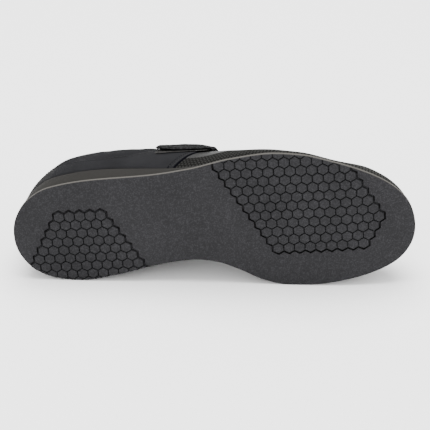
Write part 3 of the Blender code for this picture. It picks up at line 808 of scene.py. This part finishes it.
def creaseDepth(points, side):
    depth = np.zeros(points.shape[:-1])
    for creaseSide, route, width, deep in upperLook["creases"]:
        if creaseSide != side:
            continue
        places, shares = np.array(route).T
        samples = np.linspace(0, 1, 15)
        way = np.linspace(0, 1, len(route))
        x = np.interp(samples, way, places)
        line = lastAt(side * angleOf(x / shoe["length"]), np.interp(samples, way, shares))
        flat = points.reshape(-1, 3)
        gaps = np.linalg.norm(flat[:, None, :] - line[None, :, :], axis=2)
        nearest = np.argmin(gaps, axis=1)
        gap = gaps[np.arange(len(flat)), nearest]
        fade = np.sin(np.pi * np.clip(samples[nearest] * 0.84 + 0.08, 0, 1)) ** 0.7
        wide = width * 0.001
        shape = bell(gap, wide) - 0.45 * bell(gap - 2.1 * wide, wide)
        depth += (shape * fade * deep * 0.001).reshape(depth.shape)
    return depth


def leanOf(x, up):  # how far a rib at x leans forward with the seam
    look = upperLook
    near = np.maximum(0, 1 - ((x - look["seam"]) / look["seamReach"]) ** 2) ** 2
    return look["seamLean"] * near * up


def upperSide(side, stations):  # outer points, lining points and the values of both
    look = upperLook
    x = shoe["length"] * shareOf(stations)[:, None]
    up = np.linspace(0, 1, look["rows"])[None, :]
    leaning = np.maximum(angleOf((x + leanOf(x, up)) / shoe["length"]), 1e-6)
    angle = side * leaning
    share = up * openingShare(angle)
    points = lastAt(angle, share)
    normals = lastNormal(angle, share)
    steps = np.linalg.norm(np.diff(points, axis=1), axis=2)
    arc = np.concatenate((np.zeros((len(stations), 1)), np.cumsum(steps, axis=1)), axis=1)
    drop = arc[:, -1:] - arc
    seamGap = x - look["seam"]
    opened = leaning < throatAngle
    collar = 1 - easeStep(points[..., 0], *look["collarRange"])

    def pad(height, below, reach):
        return height * collar * bell(drop - below, reach)

    def dip(distance, depth, reach):
        return depth * bell(distance, reach)

    raised = shoe["quarterStep"] * (1 - easeStep(seamGap, -look["stepWidth"], 0.0))
    raised = raised + sum(pad(*row) for row in look["collarPads"])
    raised = raised - dip(drop, *look["edgeDip"]) * opened - dip(arc, *look["footDip"])
    raised = raised - creaseDepth(points, side)
    padding = shoe["wall"] + pad(*look["liningPad"]) - dip(drop, *look["liningDip"]) * opened
    foot = insetAt(side * leaning, 0.0)[:, 0]
    roundFoot = np.cumsum(np.linalg.norm(np.diff(foot, axis=0, prepend=foot[:1]), axis=1))
    values = {"up": arc, "seamGap": np.broadcast_to(seamGap, arc.shape),
              "round": np.broadcast_to(roundFoot[:, None], arc.shape)}
    return points + normals * raised[..., None], points - normals * padding[..., None], values


def makeUpper():
    look = upperLook
    marks = [look["seam"] - look["stepWidth"], look["seam"], shoe["throatTop"]]
    marks += [shoe["throatFront"] - back for back in (0, 0.0004, 0.0012, 0.0024)]
    base = np.linspace(0, np.pi, look["stations"]).tolist()
    stations = np.unique(base + [float(angleOf(mark / shoe["length"])) for mark in marks])
    stations = stations[np.diff(stations, prepend=-1) > 0.0012]
    opened = stations < throatAngle - 1e-6
    span = int(opened.sum()) + 1
    parts, slots = [], []

    def add(grid, values, slot):
        parts.append(gridPart(grid, **values))
        slots.extend([slot] * len(parts[-1][1]))

    for side in (-1, 1):
        outer, lining, values = upperSide(side, stations)
        add(outer, values, 0)
        add(lining, values, 1)
        # the bound edge of the collar and throat, and the hidden foot
        top, under = outer[:, -1], lining[:, -1]
        upwards = unit(top - outer[:, -3]) * opened[:, None] * look["edgeRound"]
        turns = math.pi * np.array([1, 2, 3])[:, None, None] / 4
        ring = (top + under) / 2 + (top - under) / 2 * np.cos(turns) + upwards * np.sin(turns)
        edge = np.concatenate((top[None], ring, under[None]))
        add(edge[:, :span], {key: value[:span, -1] for key, value in values.items()}, 1)
        add(np.stack((outer[:, 0], lining[:, 0])), {key: v[:, 0] for key, v in values.items()}, 1)
    return meshPiece("upper_shell", *joined(parts), sharp=50, weld=2e-5, slots=slots)


def upperMaterial():
    look = upperLook
    made, tree, shader = newMaterial("knit and film upper")

    def calc(operation, *values):
        return maths(tree, operation, *values)

    def between(factor, first, second):
        return mixColour(tree, factor, first, second)

    up, seamGap = attribute(tree, "up"), attribute(tree, "seamGap")
    mesh, plain, knit = [woven(tree, "round", "up", *look[key])
                         for key in ("meshCells", "plainCells", "knitCells")]
    cloud = texture(tree, "ShaderNodeTexNoise", in_Scale=34.0, in_Detail=5.0)
    fibre = texture(tree, "ShaderNodeTexNoise", in_Scale=900.0, in_Detail=2.0)
    fore = ramp(tree, seamGap, -0.0001, 0.0001)
    heel = ramp(tree, attribute(tree, "round"), *look["heelRange"])
    ahead = calc("POWER", calc("DIVIDE", seamGap, look["filmReach"]), 4.0)
    filmEdge = calc("MULTIPLY_ADD", ahead, look["filmRise"], look["filmFoot"])
    film = calc("MULTIPLY", ramp(tree, calc("SUBTRACT", up, filmEdge), 0.0, 0.0004), fore)
    height = between(film, between(fore, between(heel, plain, knit), mesh), 0.9)
    # the mesh is darkened in its holes as painted shade
    holeShade = ramp(tree, mesh, 0.30, 0.85, (0.22, 1.50))
    toeward = ramp(tree, seamGap, *look["toeRange"], (1.0, look["toeLight"]))
    meshColour = toned(tree, toned(tree, look["mesh"], holeShade), toeward)
    colour = between(fore, between(heel, look["quarter"], look["heel"]), meshColour)
    filmTone = ramp(tree, seamGap, 0.008, 0.034, (0.70, 1.25))
    colour = between(film, colour, toned(tree, look["film"], filmTone))
    lines = [ramp(tree, calc("ABSOLUTE", calc("ADD", seamGap, -place)), wide, full)
             for place, wide, full in look["seamLines"]]
    dark = calc("MAXIMUM", *lines)
    colour = between(dark, colour, look["seamDark"])
    mottle = calc("MULTIPLY_ADD", fibre.outputs[0], 0.35, cloud.outputs[0])
    colour = toned(tree, colour, ramp(tree, mottle, 0.45, 0.90, (0.78, 1.22)))
    rough = ramp(tree, film, 0.0, 1.0, look["rough"])
    toeShine = calc("MULTIPLY_ADD", ramp(tree, seamGap, *look["toeRange"]), 0.02, 0.02)
    shine = calc("MULTIPLY_ADD", calc("MULTIPLY", film, filmTone), 0.045, toeShine)
    # the shine is lowered in the mesh holes, painted shade too
    shine = calc("MULTIPLY", shine, between(film, between(fore, 1.0, holeShade), 1.0))
    shine = calc("MULTIPLY", shine, calc("SUBTRACT", 1.0, dark))
    coat(tree, shader, colour, rough, shine, height, *look["bump"])
    return made


def weaveMaterial(name, colour, cells, tones, rough, shine, strength):
    made, tree, shader = newMaterial(name)
    height = woven(tree, *cells)
    colour = toned(tree, colour, ramp(tree, height, 0.1, 0.9, tones))
    coat(tree, shader, colour, rough, shine, height, strength, 0.0003)
    return made


upper = makeUpper()
liningCells = ("round", "up", *upperLook["liningCells"])
lining = weaveMaterial("lining mesh", upperLook["lining"], liningCells, (0.6, 1.2), 0.9, 0.2, 0.5)
finishPiece(upper, "upper", [upperMaterial(), lining])
print("upper", len(upper.data.polygons))


def softened(grid, rounds):  # evens a grid of points across its rows, both borders kept
    for _ in range(rounds):
        inside = (grid[:, :-2] + grid[:, 2:]) / 4 + grid[:, 1:-1] / 2
        grid = np.concatenate((grid[:, :1], inside, grid[:, -1:]), axis=1)
    return grid


def gridNormals(grid, outwards):
    normal = np.cross(np.gradient(grid, axis=0), np.gradient(grid, axis=1))
    flip = np.sum(normal * outwards, -1, keepdims=True) < 0
    return unit(np.where(flip, -normal, normal))


throatRows = np.linspace(shoe["throatTop"] - 0.0001, shoe["throatFront"] - shoe["throatEnd"], 40)
throatHalfAt = {}
for way in (-1, 1):
    angles = way * angleOf(throatRows / shoe["length"])
    shares = shareAtHalfWidth(angles, throatHalf(angles, throatRows))
    throatHalfAt[way] = ribDrop(angles, shares, np.ones(angles.shape))


def throatEdge(way, x):  # from the ridge to the throat's edge, along the rib
    return np.interp(x, throatRows, throatHalfAt[way])


clothLook = {
    "insole": (0.0140, 0.0140, 0.0145),
    "tongue": (0.0100, 0.0100, 0.0110),
    "eyestay": (0.0150, 0.0150, 0.0158),
    "eyelet": (0.0100, 0.0100, 0.0108),
    "lace": (0.0110, 0.0110, 0.0115),
    "strap": (0.0105, 0.0105, 0.0109),
    # loop: far lighter than the band, a painted highlight for the light on the strap's end edge,
    # where the loop layer shows below the band
    "loop": (0.0260, 0.0252, 0.0245),
    "thread": (0.0200, 0.0200, 0.0210),
}


def clothMaterial(name, colour, scale, rough=0.88, strength=0.6, speckle=0.3):
    made, tree, shader = newMaterial(name)
    fibre = texture(tree, "ShaderNodeTexNoise", in_Scale=scale, in_Detail=6.0, in_Roughness=0.7)
    cells = texture(tree, "ShaderNodeTexVoronoi", in_Scale=scale * 1.3)
    tone = ramp(tree, fibre.outputs[0], 0.35, 0.68, (1 - speckle, 1 + speckle))
    height = maths(tree, "MULTIPLY_ADD", cells.outputs["Distance"], 0.6, fibre.outputs[0])
    shine = 0.10 if rough < 0.6 else 0.06
    coat(tree, shader, toned(tree, clothLook[colour], tone), rough, shine, height, strength, 0.0005)
    return made


insoleLook = {"clear": 0.0010, "lift": 0.0003, "edge": 0.0008, "thick": 0.0022, "round": 0.0016,
              "rim": 0.0016, "arch": 0.0020, "archAt": 0.115, "archReach": 0.035}


def makeInsole():
    look = insoleLook
    stations = np.linspace(0.05, np.pi - 0.05, 150)
    inset = shoe["upperLedge"] + shoe["wall"] + look["clear"]
    outer, inner = insetAt(-stations, inset)[:, None], insetAt(stations, inset)[:, None]
    across = np.linspace(0, 1, 33)[None, :]
    top = outer * (1 - across[..., None]) + inner * across[..., None]
    under = top.copy()
    under[..., 2] = rimAt(top[..., 0]) + look["lift"]
    rounded = edgeProfile(across, np.linalg.norm(inner - outer, axis=-1), look["round"])
    arch = look["arch"] * bell(top[..., 0] - look["archAt"], look["archReach"])
    top[..., 2] = under[..., 2] + look["edge"] + rounded * look["thick"]
    top[..., 2] += look["rim"] * np.abs(2 * across - 1) ** 5 + arch * easeStep(across, 0.55, 1.0)
    return band("insole_liner", top, under)


insole = makeInsole()
finishPiece(insole, "insole", [clothMaterial("insole cloth", "insole", 700.0)])

tongueLook = {"top": 0.0915, "front": 0.204, "topHalf": 0.030, "frontHalf": 0.020, "corner": 0.013,
              "thick": 0.0050, "gap": 0.0008, "round": 0.0028, "least": 0.14142136,
              "seamAt": 0.0052, "seamWide": 0.0009, "puff": 0.0011}


def tongueHalf(x):
    look = tongueLook
    down = (x - look["top"]) / (look["front"] - look["top"])
    half = look["topHalf"] + (look["frontHalf"] - look["topHalf"]) * down
    return half - look["corner"] * (1 - quarterRound((x - look["top"]) / look["corner"]))


def makeTongue():
    look = tongueLook
    t = np.linspace(0, 1, 120)
    x = (look["top"] + (look["front"] - look["top"]) * t ** 1.5)[:, None]
    half = tongueHalf(x)
    w = (2 * np.linspace(0, 1, 49)[None, :] - 1) * half
    angle, share = placeOnLast(x, w)
    middle = -(shoe["wall"] + look["gap"] + look["thick"] / 2)
    sheet = softened(above(angle, share, middle), 26)
    normals = gridNormals(sheet, lastNormal(angle, share))
    border = np.minimum(half - np.abs(w), np.minimum(x - look["top"], look["front"] - x))
    rounded = np.maximum(quarterRound(border / look["round"]), look["least"])
    seam = look["seamWide"] * bell(border - look["seamAt"], look["seamWide"])
    puff = look["puff"] * easeStep(border, 0.005, 0.012)
    top = sheet + normals * (rounded * (look["thick"] / 2 - 0.0011) + puff - seam)[..., None]
    under = sheet - normals * (rounded * (look["thick"] / 2 - 0.0006) + puff * 0.4)[..., None]
    return band("tongue_pad", top, under)


tongue = makeTongue()
finishPiece(tongue, "tongue", [clothMaterial("tongue cloth", "tongue", 820.0)])

eyestayLook = {"width": 0.017, "frontLength": 0.020, "under": 0.0001, "over": 0.0021,
               "clear": 0.0003, "frontClear": 0.0004, "edge": 0.0006, "round": 0.0009}


def eyestayPath(count):  # inner and outer border points (x, w) of the band round the throat
    look = eyestayLook
    centre = shoe["throatFront"] - shoe["throatEnd"]
    sides = {}
    for way in (-1, 1):
        x = np.linspace(shoe["throatTop"] + 0.0004, centre, count)
        half = throatEdge(way, x)
        inner, outer = half + look["clear"], half + look["width"]
        sides[way] = np.stack((np.c_[x, way * inner], np.c_[x, way * outer]), 1)
    a = np.linspace(-math.pi / 2, math.pi / 2, 41)[1:-1]
    half = np.where(a > 0, throatEdge(1, centre), throatEdge(-1, centre))
    inner = np.c_[centre + (shoe["throatEnd"] + look["frontClear"]) * np.cos(a),
                  (half + look["clear"]) * np.sin(a)]
    outer = np.c_[centre + (shoe["throatEnd"] + look["frontLength"]) * np.cos(a) ** 0.8,
                  (half + look["width"]) * np.sin(a)]
    return np.concatenate((sides[-1], np.stack((inner, outer), 1), sides[1][::-1]))


def makeEyestay():
    look = eyestayLook
    borders = eyestayPath(46)
    across = np.linspace(0, 1, 15)[None, :]
    x = borders[:, 0, :1] * (1 - across) + borders[:, 1, :1] * across
    w = borders[:, 0, 1:] * (1 - across) + borders[:, 1, 1:] * across
    width = np.linalg.norm(borders[:, 1] - borders[:, 0], axis=1)[:, None]
    angle, share = placeOnLast(x, w)
    rounded = edgeProfile(across, width, look["round"])
    rounded[[0, -1]] *= 0.25
    low = look["under"] + look["edge"]
    top = above(angle, share, low + rounded * (look["over"] - low))
    return band("eyestay_band", top, above(angle, share, look["under"] - 0.0004))


eyestay = makeEyestay()
finishPiece(eyestay, "eyestay",
            [clothMaterial("eyestay film", "eyestay", 520.0, 0.5, 0.18, 0.08)])
print("insole, tongue and eyestay")

laceLook = {"width": 0.0060, "thick": 0.0013, "bars": 6, "first": 0.1205, "last": 0.180,
            "fromEdge": 0.0100, "height": 0.0026, "runHeight": 0.0035, "runWidth": 0.00552,
            "round": 0.012, "cells": (0.0013, 0.0010, 0.8), "barTuck": 0.0032,
            "runDip": 0.0008, "runTuck": 0.0022}
laceBars = np.linspace(laceLook["first"], laceLook["last"], laceLook["bars"])


def hintAt(x, w):
    return onLast(x, w, 0.001) - onLast(x, w, 0.0)


def ribbon(x, w, height, width):  # a flat lace with rounded borders along a line on the last
    look = laceLook
    centres = onLast(x, w, height)
    along = unit(np.gradient(centres, axis=0))
    sideways = unit(np.cross(along, hintAt(x, w)))
    upwards = np.cross(sideways, along)
    turns = np.linspace(0, 2 * np.pi, 16, endpoint=False)
    u = np.sign(np.cos(turns)) * np.abs(np.cos(turns)) ** 0.55 * width / 2
    v = np.sign(np.sin(turns)) * np.abs(np.sin(turns)) ** 0.8 * look["thick"] / 2
    rings = centres[:, None] + sideways[:, None] * u[:, None] + upwards[:, None] * v[:, None]
    length = np.cumsum(np.linalg.norm(np.gradient(centres, axis=0), axis=1))
    return gridPart(rings, closed=True, caps=True, along=length[:, None],
                    across=turns / (2 * np.pi) * look["round"])


def makeLaces():
    look = laceLook
    parts = []
    for x in laceBars:
        left, right = -throatEdge(-1, x) - look["fromEdge"], throatEdge(1, x) + look["fromEdge"]
        w = np.linspace(left, right, 61)
        edge = np.minimum(w - left, right - w)
        height = look["height"] - look["barTuck"] * (1 - easeStep(edge, -0.0005, 0.0032))
        parts.append(ribbon(np.full(w.shape, x), w, height, look["width"]))
    for way in (-1, 1):
        x = np.linspace(look["first"] - 0.001, look["last"] + 0.001, 121)
        phase = (x - look["first"]) / (laceBars[1] - laceBars[0])
        over = np.abs(np.sin(np.pi * np.clip(phase, 0, look["bars"] - 1)))
        ends = np.minimum(x - x[0], x[-1] - x)
        height = look["runHeight"] - look["runDip"] * over ** 0.7
        height = height - look["runTuck"] * (1 - easeStep(ends, 0.0, 0.0030))
        w = way * (throatEdge(way, x) + look["fromEdge"])
        parts.append(ribbon(x, w, height, look["runWidth"]))
    return meshPiece("laces_flat", *joined(parts))


laces = makeLaces()
laceCells = ("along", "across", *laceLook["cells"])
lace = weaveMaterial("flat woven lace", clothLook["lace"], laceCells, (0.55, 1.35), 0.85, 0.06, 0.7)
finishPiece(laces, "laces", [lace])

eyeletLook = {
    "around": 28,
    "sink": 0.0001,
    # radius and height of each ring
    "rings": [(0.0018, -0.0006), (0.0018, 0.0004), (0.0022, 0.0007), (0.0032, 0.0007),
              (0.0037, 0.0004), (0.0038, 0.0)],
}


def makeEyelets():
    look = eyeletLook
    parts = []
    radius, height = np.array(look["rings"]).T[:, :, None, None]
    turns = np.linspace(0, 2 * np.pi, look["around"], endpoint=False)[:, None]
    for x in laceBars:
        for way in (-1, 1):
            spot = np.array([x]), np.array([way * (throatEdge(way, x) + laceLook["fromEdge"])])
            middle = onLast(*spot, eyestayLook["over"] - look["sink"])[0]
            up = unit(hintAt(*spot)[0])
            side = unit(np.cross(up, (1.0, 0.0, 0.0)))
            around = np.cross(side, up) * np.cos(turns) + side * np.sin(turns)
            parts.append(gridPart(middle + around * radius + up * height, closed=True))
    return meshPiece("eyelet_rings", *joined(parts))


eyelets = makeEyelets()
finishPiece(eyelets,
            materials=[clothMaterial("eyelet film", "eyelet", 600.0, 0.42, 0.1, 0.06)])
print("laces and eyelets")

strapLook = {
    "back": 0.1032, "front": 0.1437, "lean": 0.0105, "outerEnd": 0.051, "innerEnd": 0.040,
    "low": 0.0011, "loop": 0.0007, "bandBase": 0.0009, "band": 0.0021, "count": 61,
    "loopTrim": 0.0004, "loopLong": 0.0012, "bandShort": (0.0008, 0.0010),
    # height, drop from the throat's edge where it ends and begins, x where it begins and ends:
    # the climb over the eyestay, over the laces, and the part that stands off before its front edge
    "climbs": [(0.0017, 0.018, 0.024, 0.1020, 0.1120), (0.0019, 0.014, 0.020, 0.1080, 0.1190)],
    "stand": (0.0011, 0.016, 0.030, 0.116, 0.131),
    "standEnd": (0.131, 0.143),
    "splay": 0.0013,
    "cut": 0.004,
    "pile": 880.0,
    "loopPile": 900.0,
    "pileTone": (0.44, 0.61, (0.25, 2.3)),
    "pileShine": 0.03,
    "ribs": (0.0016, 0.0010),
}


def strapGrid(rows, outerEnds, innerEnd):  # angles and shares over the instep, a row for each x
    look = strapLook
    rows = rows[:, None]
    halves = []
    for side, height in ((-1, np.broadcast_to(outerEnds, len(rows))[:, None]), (1, innerEnd)):
        low, high = np.full(rows.shape, 0.2), np.ones(rows.shape)
        for _ in range(22):
            middle = (low + high) / 2
            angle = side * angleOf((rows + look["lean"] * middle) / shoe["length"])
            passed = lastAt(angle, middle)[..., 2] > height
            high, low = np.where(passed, middle, high), np.where(passed, low, middle)
        share = high + (1 - high) * np.linspace(0, 1, look["count"])[None, :]
        halves.append((side * angleOf((rows + look["lean"] * share) / shoe["length"]), share))
    return [np.hstack((outer, inner[:, -2::-1])) for outer, inner in zip(*halves)]


def strapHeight(rows, angle, share):  # it climbs over the eyestay and the laces, flat behind them
    look = strapLook
    drop = ribDrop(angle, share, openingShare(angle))
    x = rows[:, None]

    def climb(height, inside, outside, start, end):
        return height * (1 - easeStep(drop, inside, outside)) * easeStep(x, start, end)

    stand = climb(*look["stand"]) * (1 - easeStep(x, *look["standEnd"]))
    return look["low"] + sum(climb(*row) for row in look["climbs"]) + stand


def strapLayer(name, base, thick, trim, outerEnd, innerEnd, splay=0.0, cut=0.0):
    back, front = strapLook["back"] + trim, strapLook["front"] - trim
    rows = np.linspace(back, front, 35)
    fromBack = (rows - back) / (front - back)
    angle, share = strapGrid(rows, outerEnd + cut * np.maximum(0.0, 1 - fromBack / 0.35), innerEnd)
    across = np.linspace(0, 1, angle.shape[1])[None, :]
    edge = np.minimum(rows - back, front - rows)[:, None] / (thick * 0.5)
    rounded = edgeProfile(across, 0.15, thick * 0.5) * quarterRound(edge)
    lift = splay * (1 - easeStep(across, 0.0, 0.16)) * (1 - easeStep(fromBack, 0.0, 0.55))[:, None]
    middle = strapHeight(rows, angle, share) + base + thick / 2 + lift
    top = above(angle, share, middle + rounded * thick / 2)
    under = above(angle, share, middle - rounded * thick / 2)
    line = np.cumsum(np.linalg.norm(np.gradient(top, axis=1), axis=2), axis=1)
    return band(name, top, under, along=np.hstack((line, line[:, ::-1])), across=rows[:, None])


def strapMaterial(name, colour, pile):
    made, tree, shader = newMaterial(name)
    fluff = texture(tree, "ShaderNodeTexNoise", in_Scale=pile, in_Detail=8.0, in_Roughness=0.75)
    curls = texture(tree, "ShaderNodeTexVoronoi", in_Scale=pile * 1.6)
    ribs = woven(tree, "along", "across", *strapLook["ribs"])
    tone = ramp(tree, fluff.outputs[0], *strapLook["pileTone"])
    shine = maths(tree, "MULTIPLY", tone, strapLook["pileShine"])
    height = maths(tree, "MULTIPLY_ADD", curls.outputs["Distance"], 0.8, fluff.outputs[0])
    height = maths(tree, "MULTIPLY_ADD", ribs, 0.35, height)
    coat(tree, shader, toned(tree, clothLook[colour], tone), 0.92, shine, height, 0.8, 0.0007)
    return made


outerEnd, innerEnd = strapLook["outerEnd"], strapLook["innerEnd"]  # heights of the strap's ends
# the loop layer shows as a light strip below the band's outer end; its lighter colour is a painted
# highlight
strapUnder = strapLayer("strap_loop", 0.0, strapLook["loop"], strapLook["loopTrim"],
                        outerEnd - strapLook["loopLong"], innerEnd)
finishPiece(strapUnder, "strap",
            [strapMaterial("loop pile with painted edge highlight", "loop", strapLook["loopPile"])])
bandEnds = outerEnd + strapLook["bandShort"][0], innerEnd + strapLook["bandShort"][1]
strapOver = strapLayer("strap_band", strapLook["bandBase"], strapLook["band"], 0.0, *bandEnds,
                       strapLook["splay"], strapLook["cut"])
finishPiece(strapOver, "strap",
            [strapMaterial("hook and loop band", "strap", strapLook["pile"])])
print("strap")

stitchLook = {
    "pitch": 0.0030,
    "thread": (0.00030, 0.00030, 0.00115),
    "proud": 0.0001,
    "behindSeam": (0.0017, 0.0042),
    "seamTops": {-1: 0.050, 1: 0.039},
    "belowCollar": 0.0285,
    "collarAngle": 1.22,
    "inEyestay": (0.12, 0.90),
    "inStrap": 0.0028,
}


def stitchTree(material):  # small threads set along lines
    tree, inside, outside = makeGroup(
        "stitches along lines", "GeometryNodeTree",
        [("Geometry", "NodeSocketGeometry", None), ("Pitch", "NodeSocketFloat", 0.0028),
         ("Thread", "NodeSocketVector", None)],
        [("Geometry", "NodeSocketGeometry")],
    )
    spaced = addNode(tree, "GeometryNodeResampleCurve", mode="LENGTH")
    thread = addNode(tree, "GeometryNodeMeshUVSphere", in_Segments=8, in_Rings=6, in_Radius=1.0)
    tangent = addNode(tree, "GeometryNodeInputTangent")
    align = addNode(tree, "FunctionNodeAlignRotationToVector", axis="Z")
    place = addNode(tree, "GeometryNodeInstanceOnPoints")
    real = addNode(tree, "GeometryNodeRealizeInstances")
    paint = addNode(tree, "GeometryNodeSetMaterial", in_Material=material)
    for source, key, target, socket in (
        (inside, "Geometry", spaced, "Curve"), (inside, "Pitch", spaced, "Length"),
        (tangent, "Tangent", align, "Vector"), (spaced, "Curve", place, "Points"),
        (thread, "Mesh", place, "Instance"), (align, "Rotation", place, "Rotation"),
        (inside, "Thread", place, "Scale"), (place, "Instances", real, "Geometry"),
        (real, "Geometry", paint, "Geometry"), (paint, "Geometry", outside, "Geometry"),
    ):
        tree.links.new(source.outputs[key], target.inputs[socket])
    return tree


stitches = stitchTree(clothMaterial("stitching thread", "thread", 2400.0, 0.7, 0.3))


def makeStitches(name, lines):
    data = bpy.data.curves.new(name, "CURVE")
    data.dimensions = "3D"
    for line in lines:
        spline = data.splines.new("POLY")
        spline.points.add(len(line) - 1)
        spline.points.foreach_set("co", np.c_[toWorld(line), np.ones(len(line))].ravel())
    curve = linked(name, data)
    made = curve.modifiers.new("stitches", "NODES")
    made.node_group = stitches
    names = {item.name: item.identifier for item in stitches.interface.items_tree
             if item.in_out == "INPUT"}
    made[names["Pitch"]] = stitchLook["pitch"]
    made[names["Thread"]] = stitchLook["thread"]
    graph = bpy.context.evaluated_depsgraph_get()
    mesh = bpy.data.meshes.new_from_object(curve.evaluated_get(graph))
    mesh.name = name
    bpy.data.objects.remove(curve)
    mesh.shade_smooth()
    finishPiece(linked(name, mesh))


def seamLines():
    lines = []
    up = np.linspace(0.03, 0.97, 60)
    for side, highest in stitchLook["seamTops"].items():
        for back in stitchLook["behindSeam"]:
            x = upperLook["seam"] - back
            angle = side * angleOf((x + leanOf(x, up)) / shoe["length"])
            share = up * openingShare(angle)
            low = lastAt(angle, share)[:, 2] < highest
            lines.append(above(angle[low], share[low], shoe["quarterStep"]))
    return lines


def collarLines():
    look = stitchLook
    angle = np.linspace(-look["collarAngle"], look["collarAngle"], 180)
    line = ribShares(angle, openingShare(angle), look["belowCollar"])
    return [above(angle, line, shoe["quarterStep"] + look["proud"])]


def eyestayLines():
    inner, outer = np.moveaxis(eyestayPath(46)[1:-1], 1, 0)
    flats = [inner * (1 - across) + outer * across for across in stitchLook["inEyestay"]]
    return [onLast(*flat.T, eyestayLook["over"] + stitchLook["proud"]) for flat in flats]


def strapLines():
    look = strapLook
    inside = stitchLook["inStrap"]
    rows = np.linspace(look["back"] + inside, look["front"] - inside, 30)
    angle, share = strapGrid(rows, outerEnd + 0.006, innerEnd + 0.004)
    lines = above(angle, share, strapHeight(rows, angle, share) + look["bandBase"] + look["band"])
    return [lines[0], lines[-1], lines[:, 0], lines[:, -1]]


makeStitches("stitches_upper", seamLines() + collarLines())
makeStitches("stitches_eyestay", eyestayLines())
makeStitches("stitches_strap", strapLines())
print("stitches")

stageLook = {
    "floor": (0.94, 0.94, 0.94),
    "half": 30,
    "world": 1.7,
    # name, place, aim, size and power
    "lights": [
        ("key", (0.0, 0.35, 2.2), (0, 0.15, 0), 2.0, 120),
        ("fill", (-0.5, -1.5, 0.9), (0, 0, 0.05), 1.0, 8),
    ],
}


def makeStage():
    half = stageLook["half"]
    mesh = bpy.data.meshes.new("stage_floor")
    corners = [(-half, -half, 0), (half, -half, 0), (half, half, 0), (-half, half, 0)]
    mesh.from_pydata(corners, [], [(0, 1, 2, 3)])
    made, tree, shader = newMaterial("pale floor")
    feed(tree, shader.inputs["Base Color"], stageLook["floor"])
    feed(tree, shader.inputs["Roughness"], 0.9)
    mesh.materials.append(made)
    linked("stage_floor", mesh)
    world = bpy.data.worlds.new("studio")
    bpy.context.scene.world = world
    world.use_nodes = True
    background = world.node_tree.nodes["Background"]
    background.inputs["Color"].default_value = (1, 1, 1, 1)
    background.inputs["Strength"].default_value = stageLook["world"]


def softLight(name, place, aim, size, power):
    data = bpy.data.lights.new(name, "AREA")
    data.shape = "DISK"
    data.size = size
    data.energy = power
    light = linked(name, data)
    light.location = place
    light.rotation_euler = (Vector(aim) - Vector(place)).to_track_quat("-Z", "Y").to_euler()


makeStage()
for light in stageLook["lights"]:
    softLight(*light)
print("stage")

cameraLook = {
    "place": (0.2262, -0.3505, -0.7470),
    "right": (0.9948, 0.0828, 0.0593),
    "up": (0.0503, -0.9058, 0.4207),
    "lens": 93.8,
}


def makeCamera():  # the photo's own view of the shoe
    look = cameraLook
    data = bpy.data.cameras.new("camera")
    data.lens = look["lens"]
    data.sensor_width = 36
    data.dof.use_dof = False
    data.clip_start = 0.01
    camera = linked("camera", data)
    right = (turn @ Vector(look["right"])).normalized()
    up = turn @ Vector(look["up"])
    up = (up - right * up.dot(right)).normalized()
    facing = Matrix((right, up, right.cross(up))).transposed().to_4x4()
    camera.matrix_world = Matrix.Translation(Vector(toWorld(look["place"]))) @ facing
    bpy.context.scene.camera = camera


makeCamera()
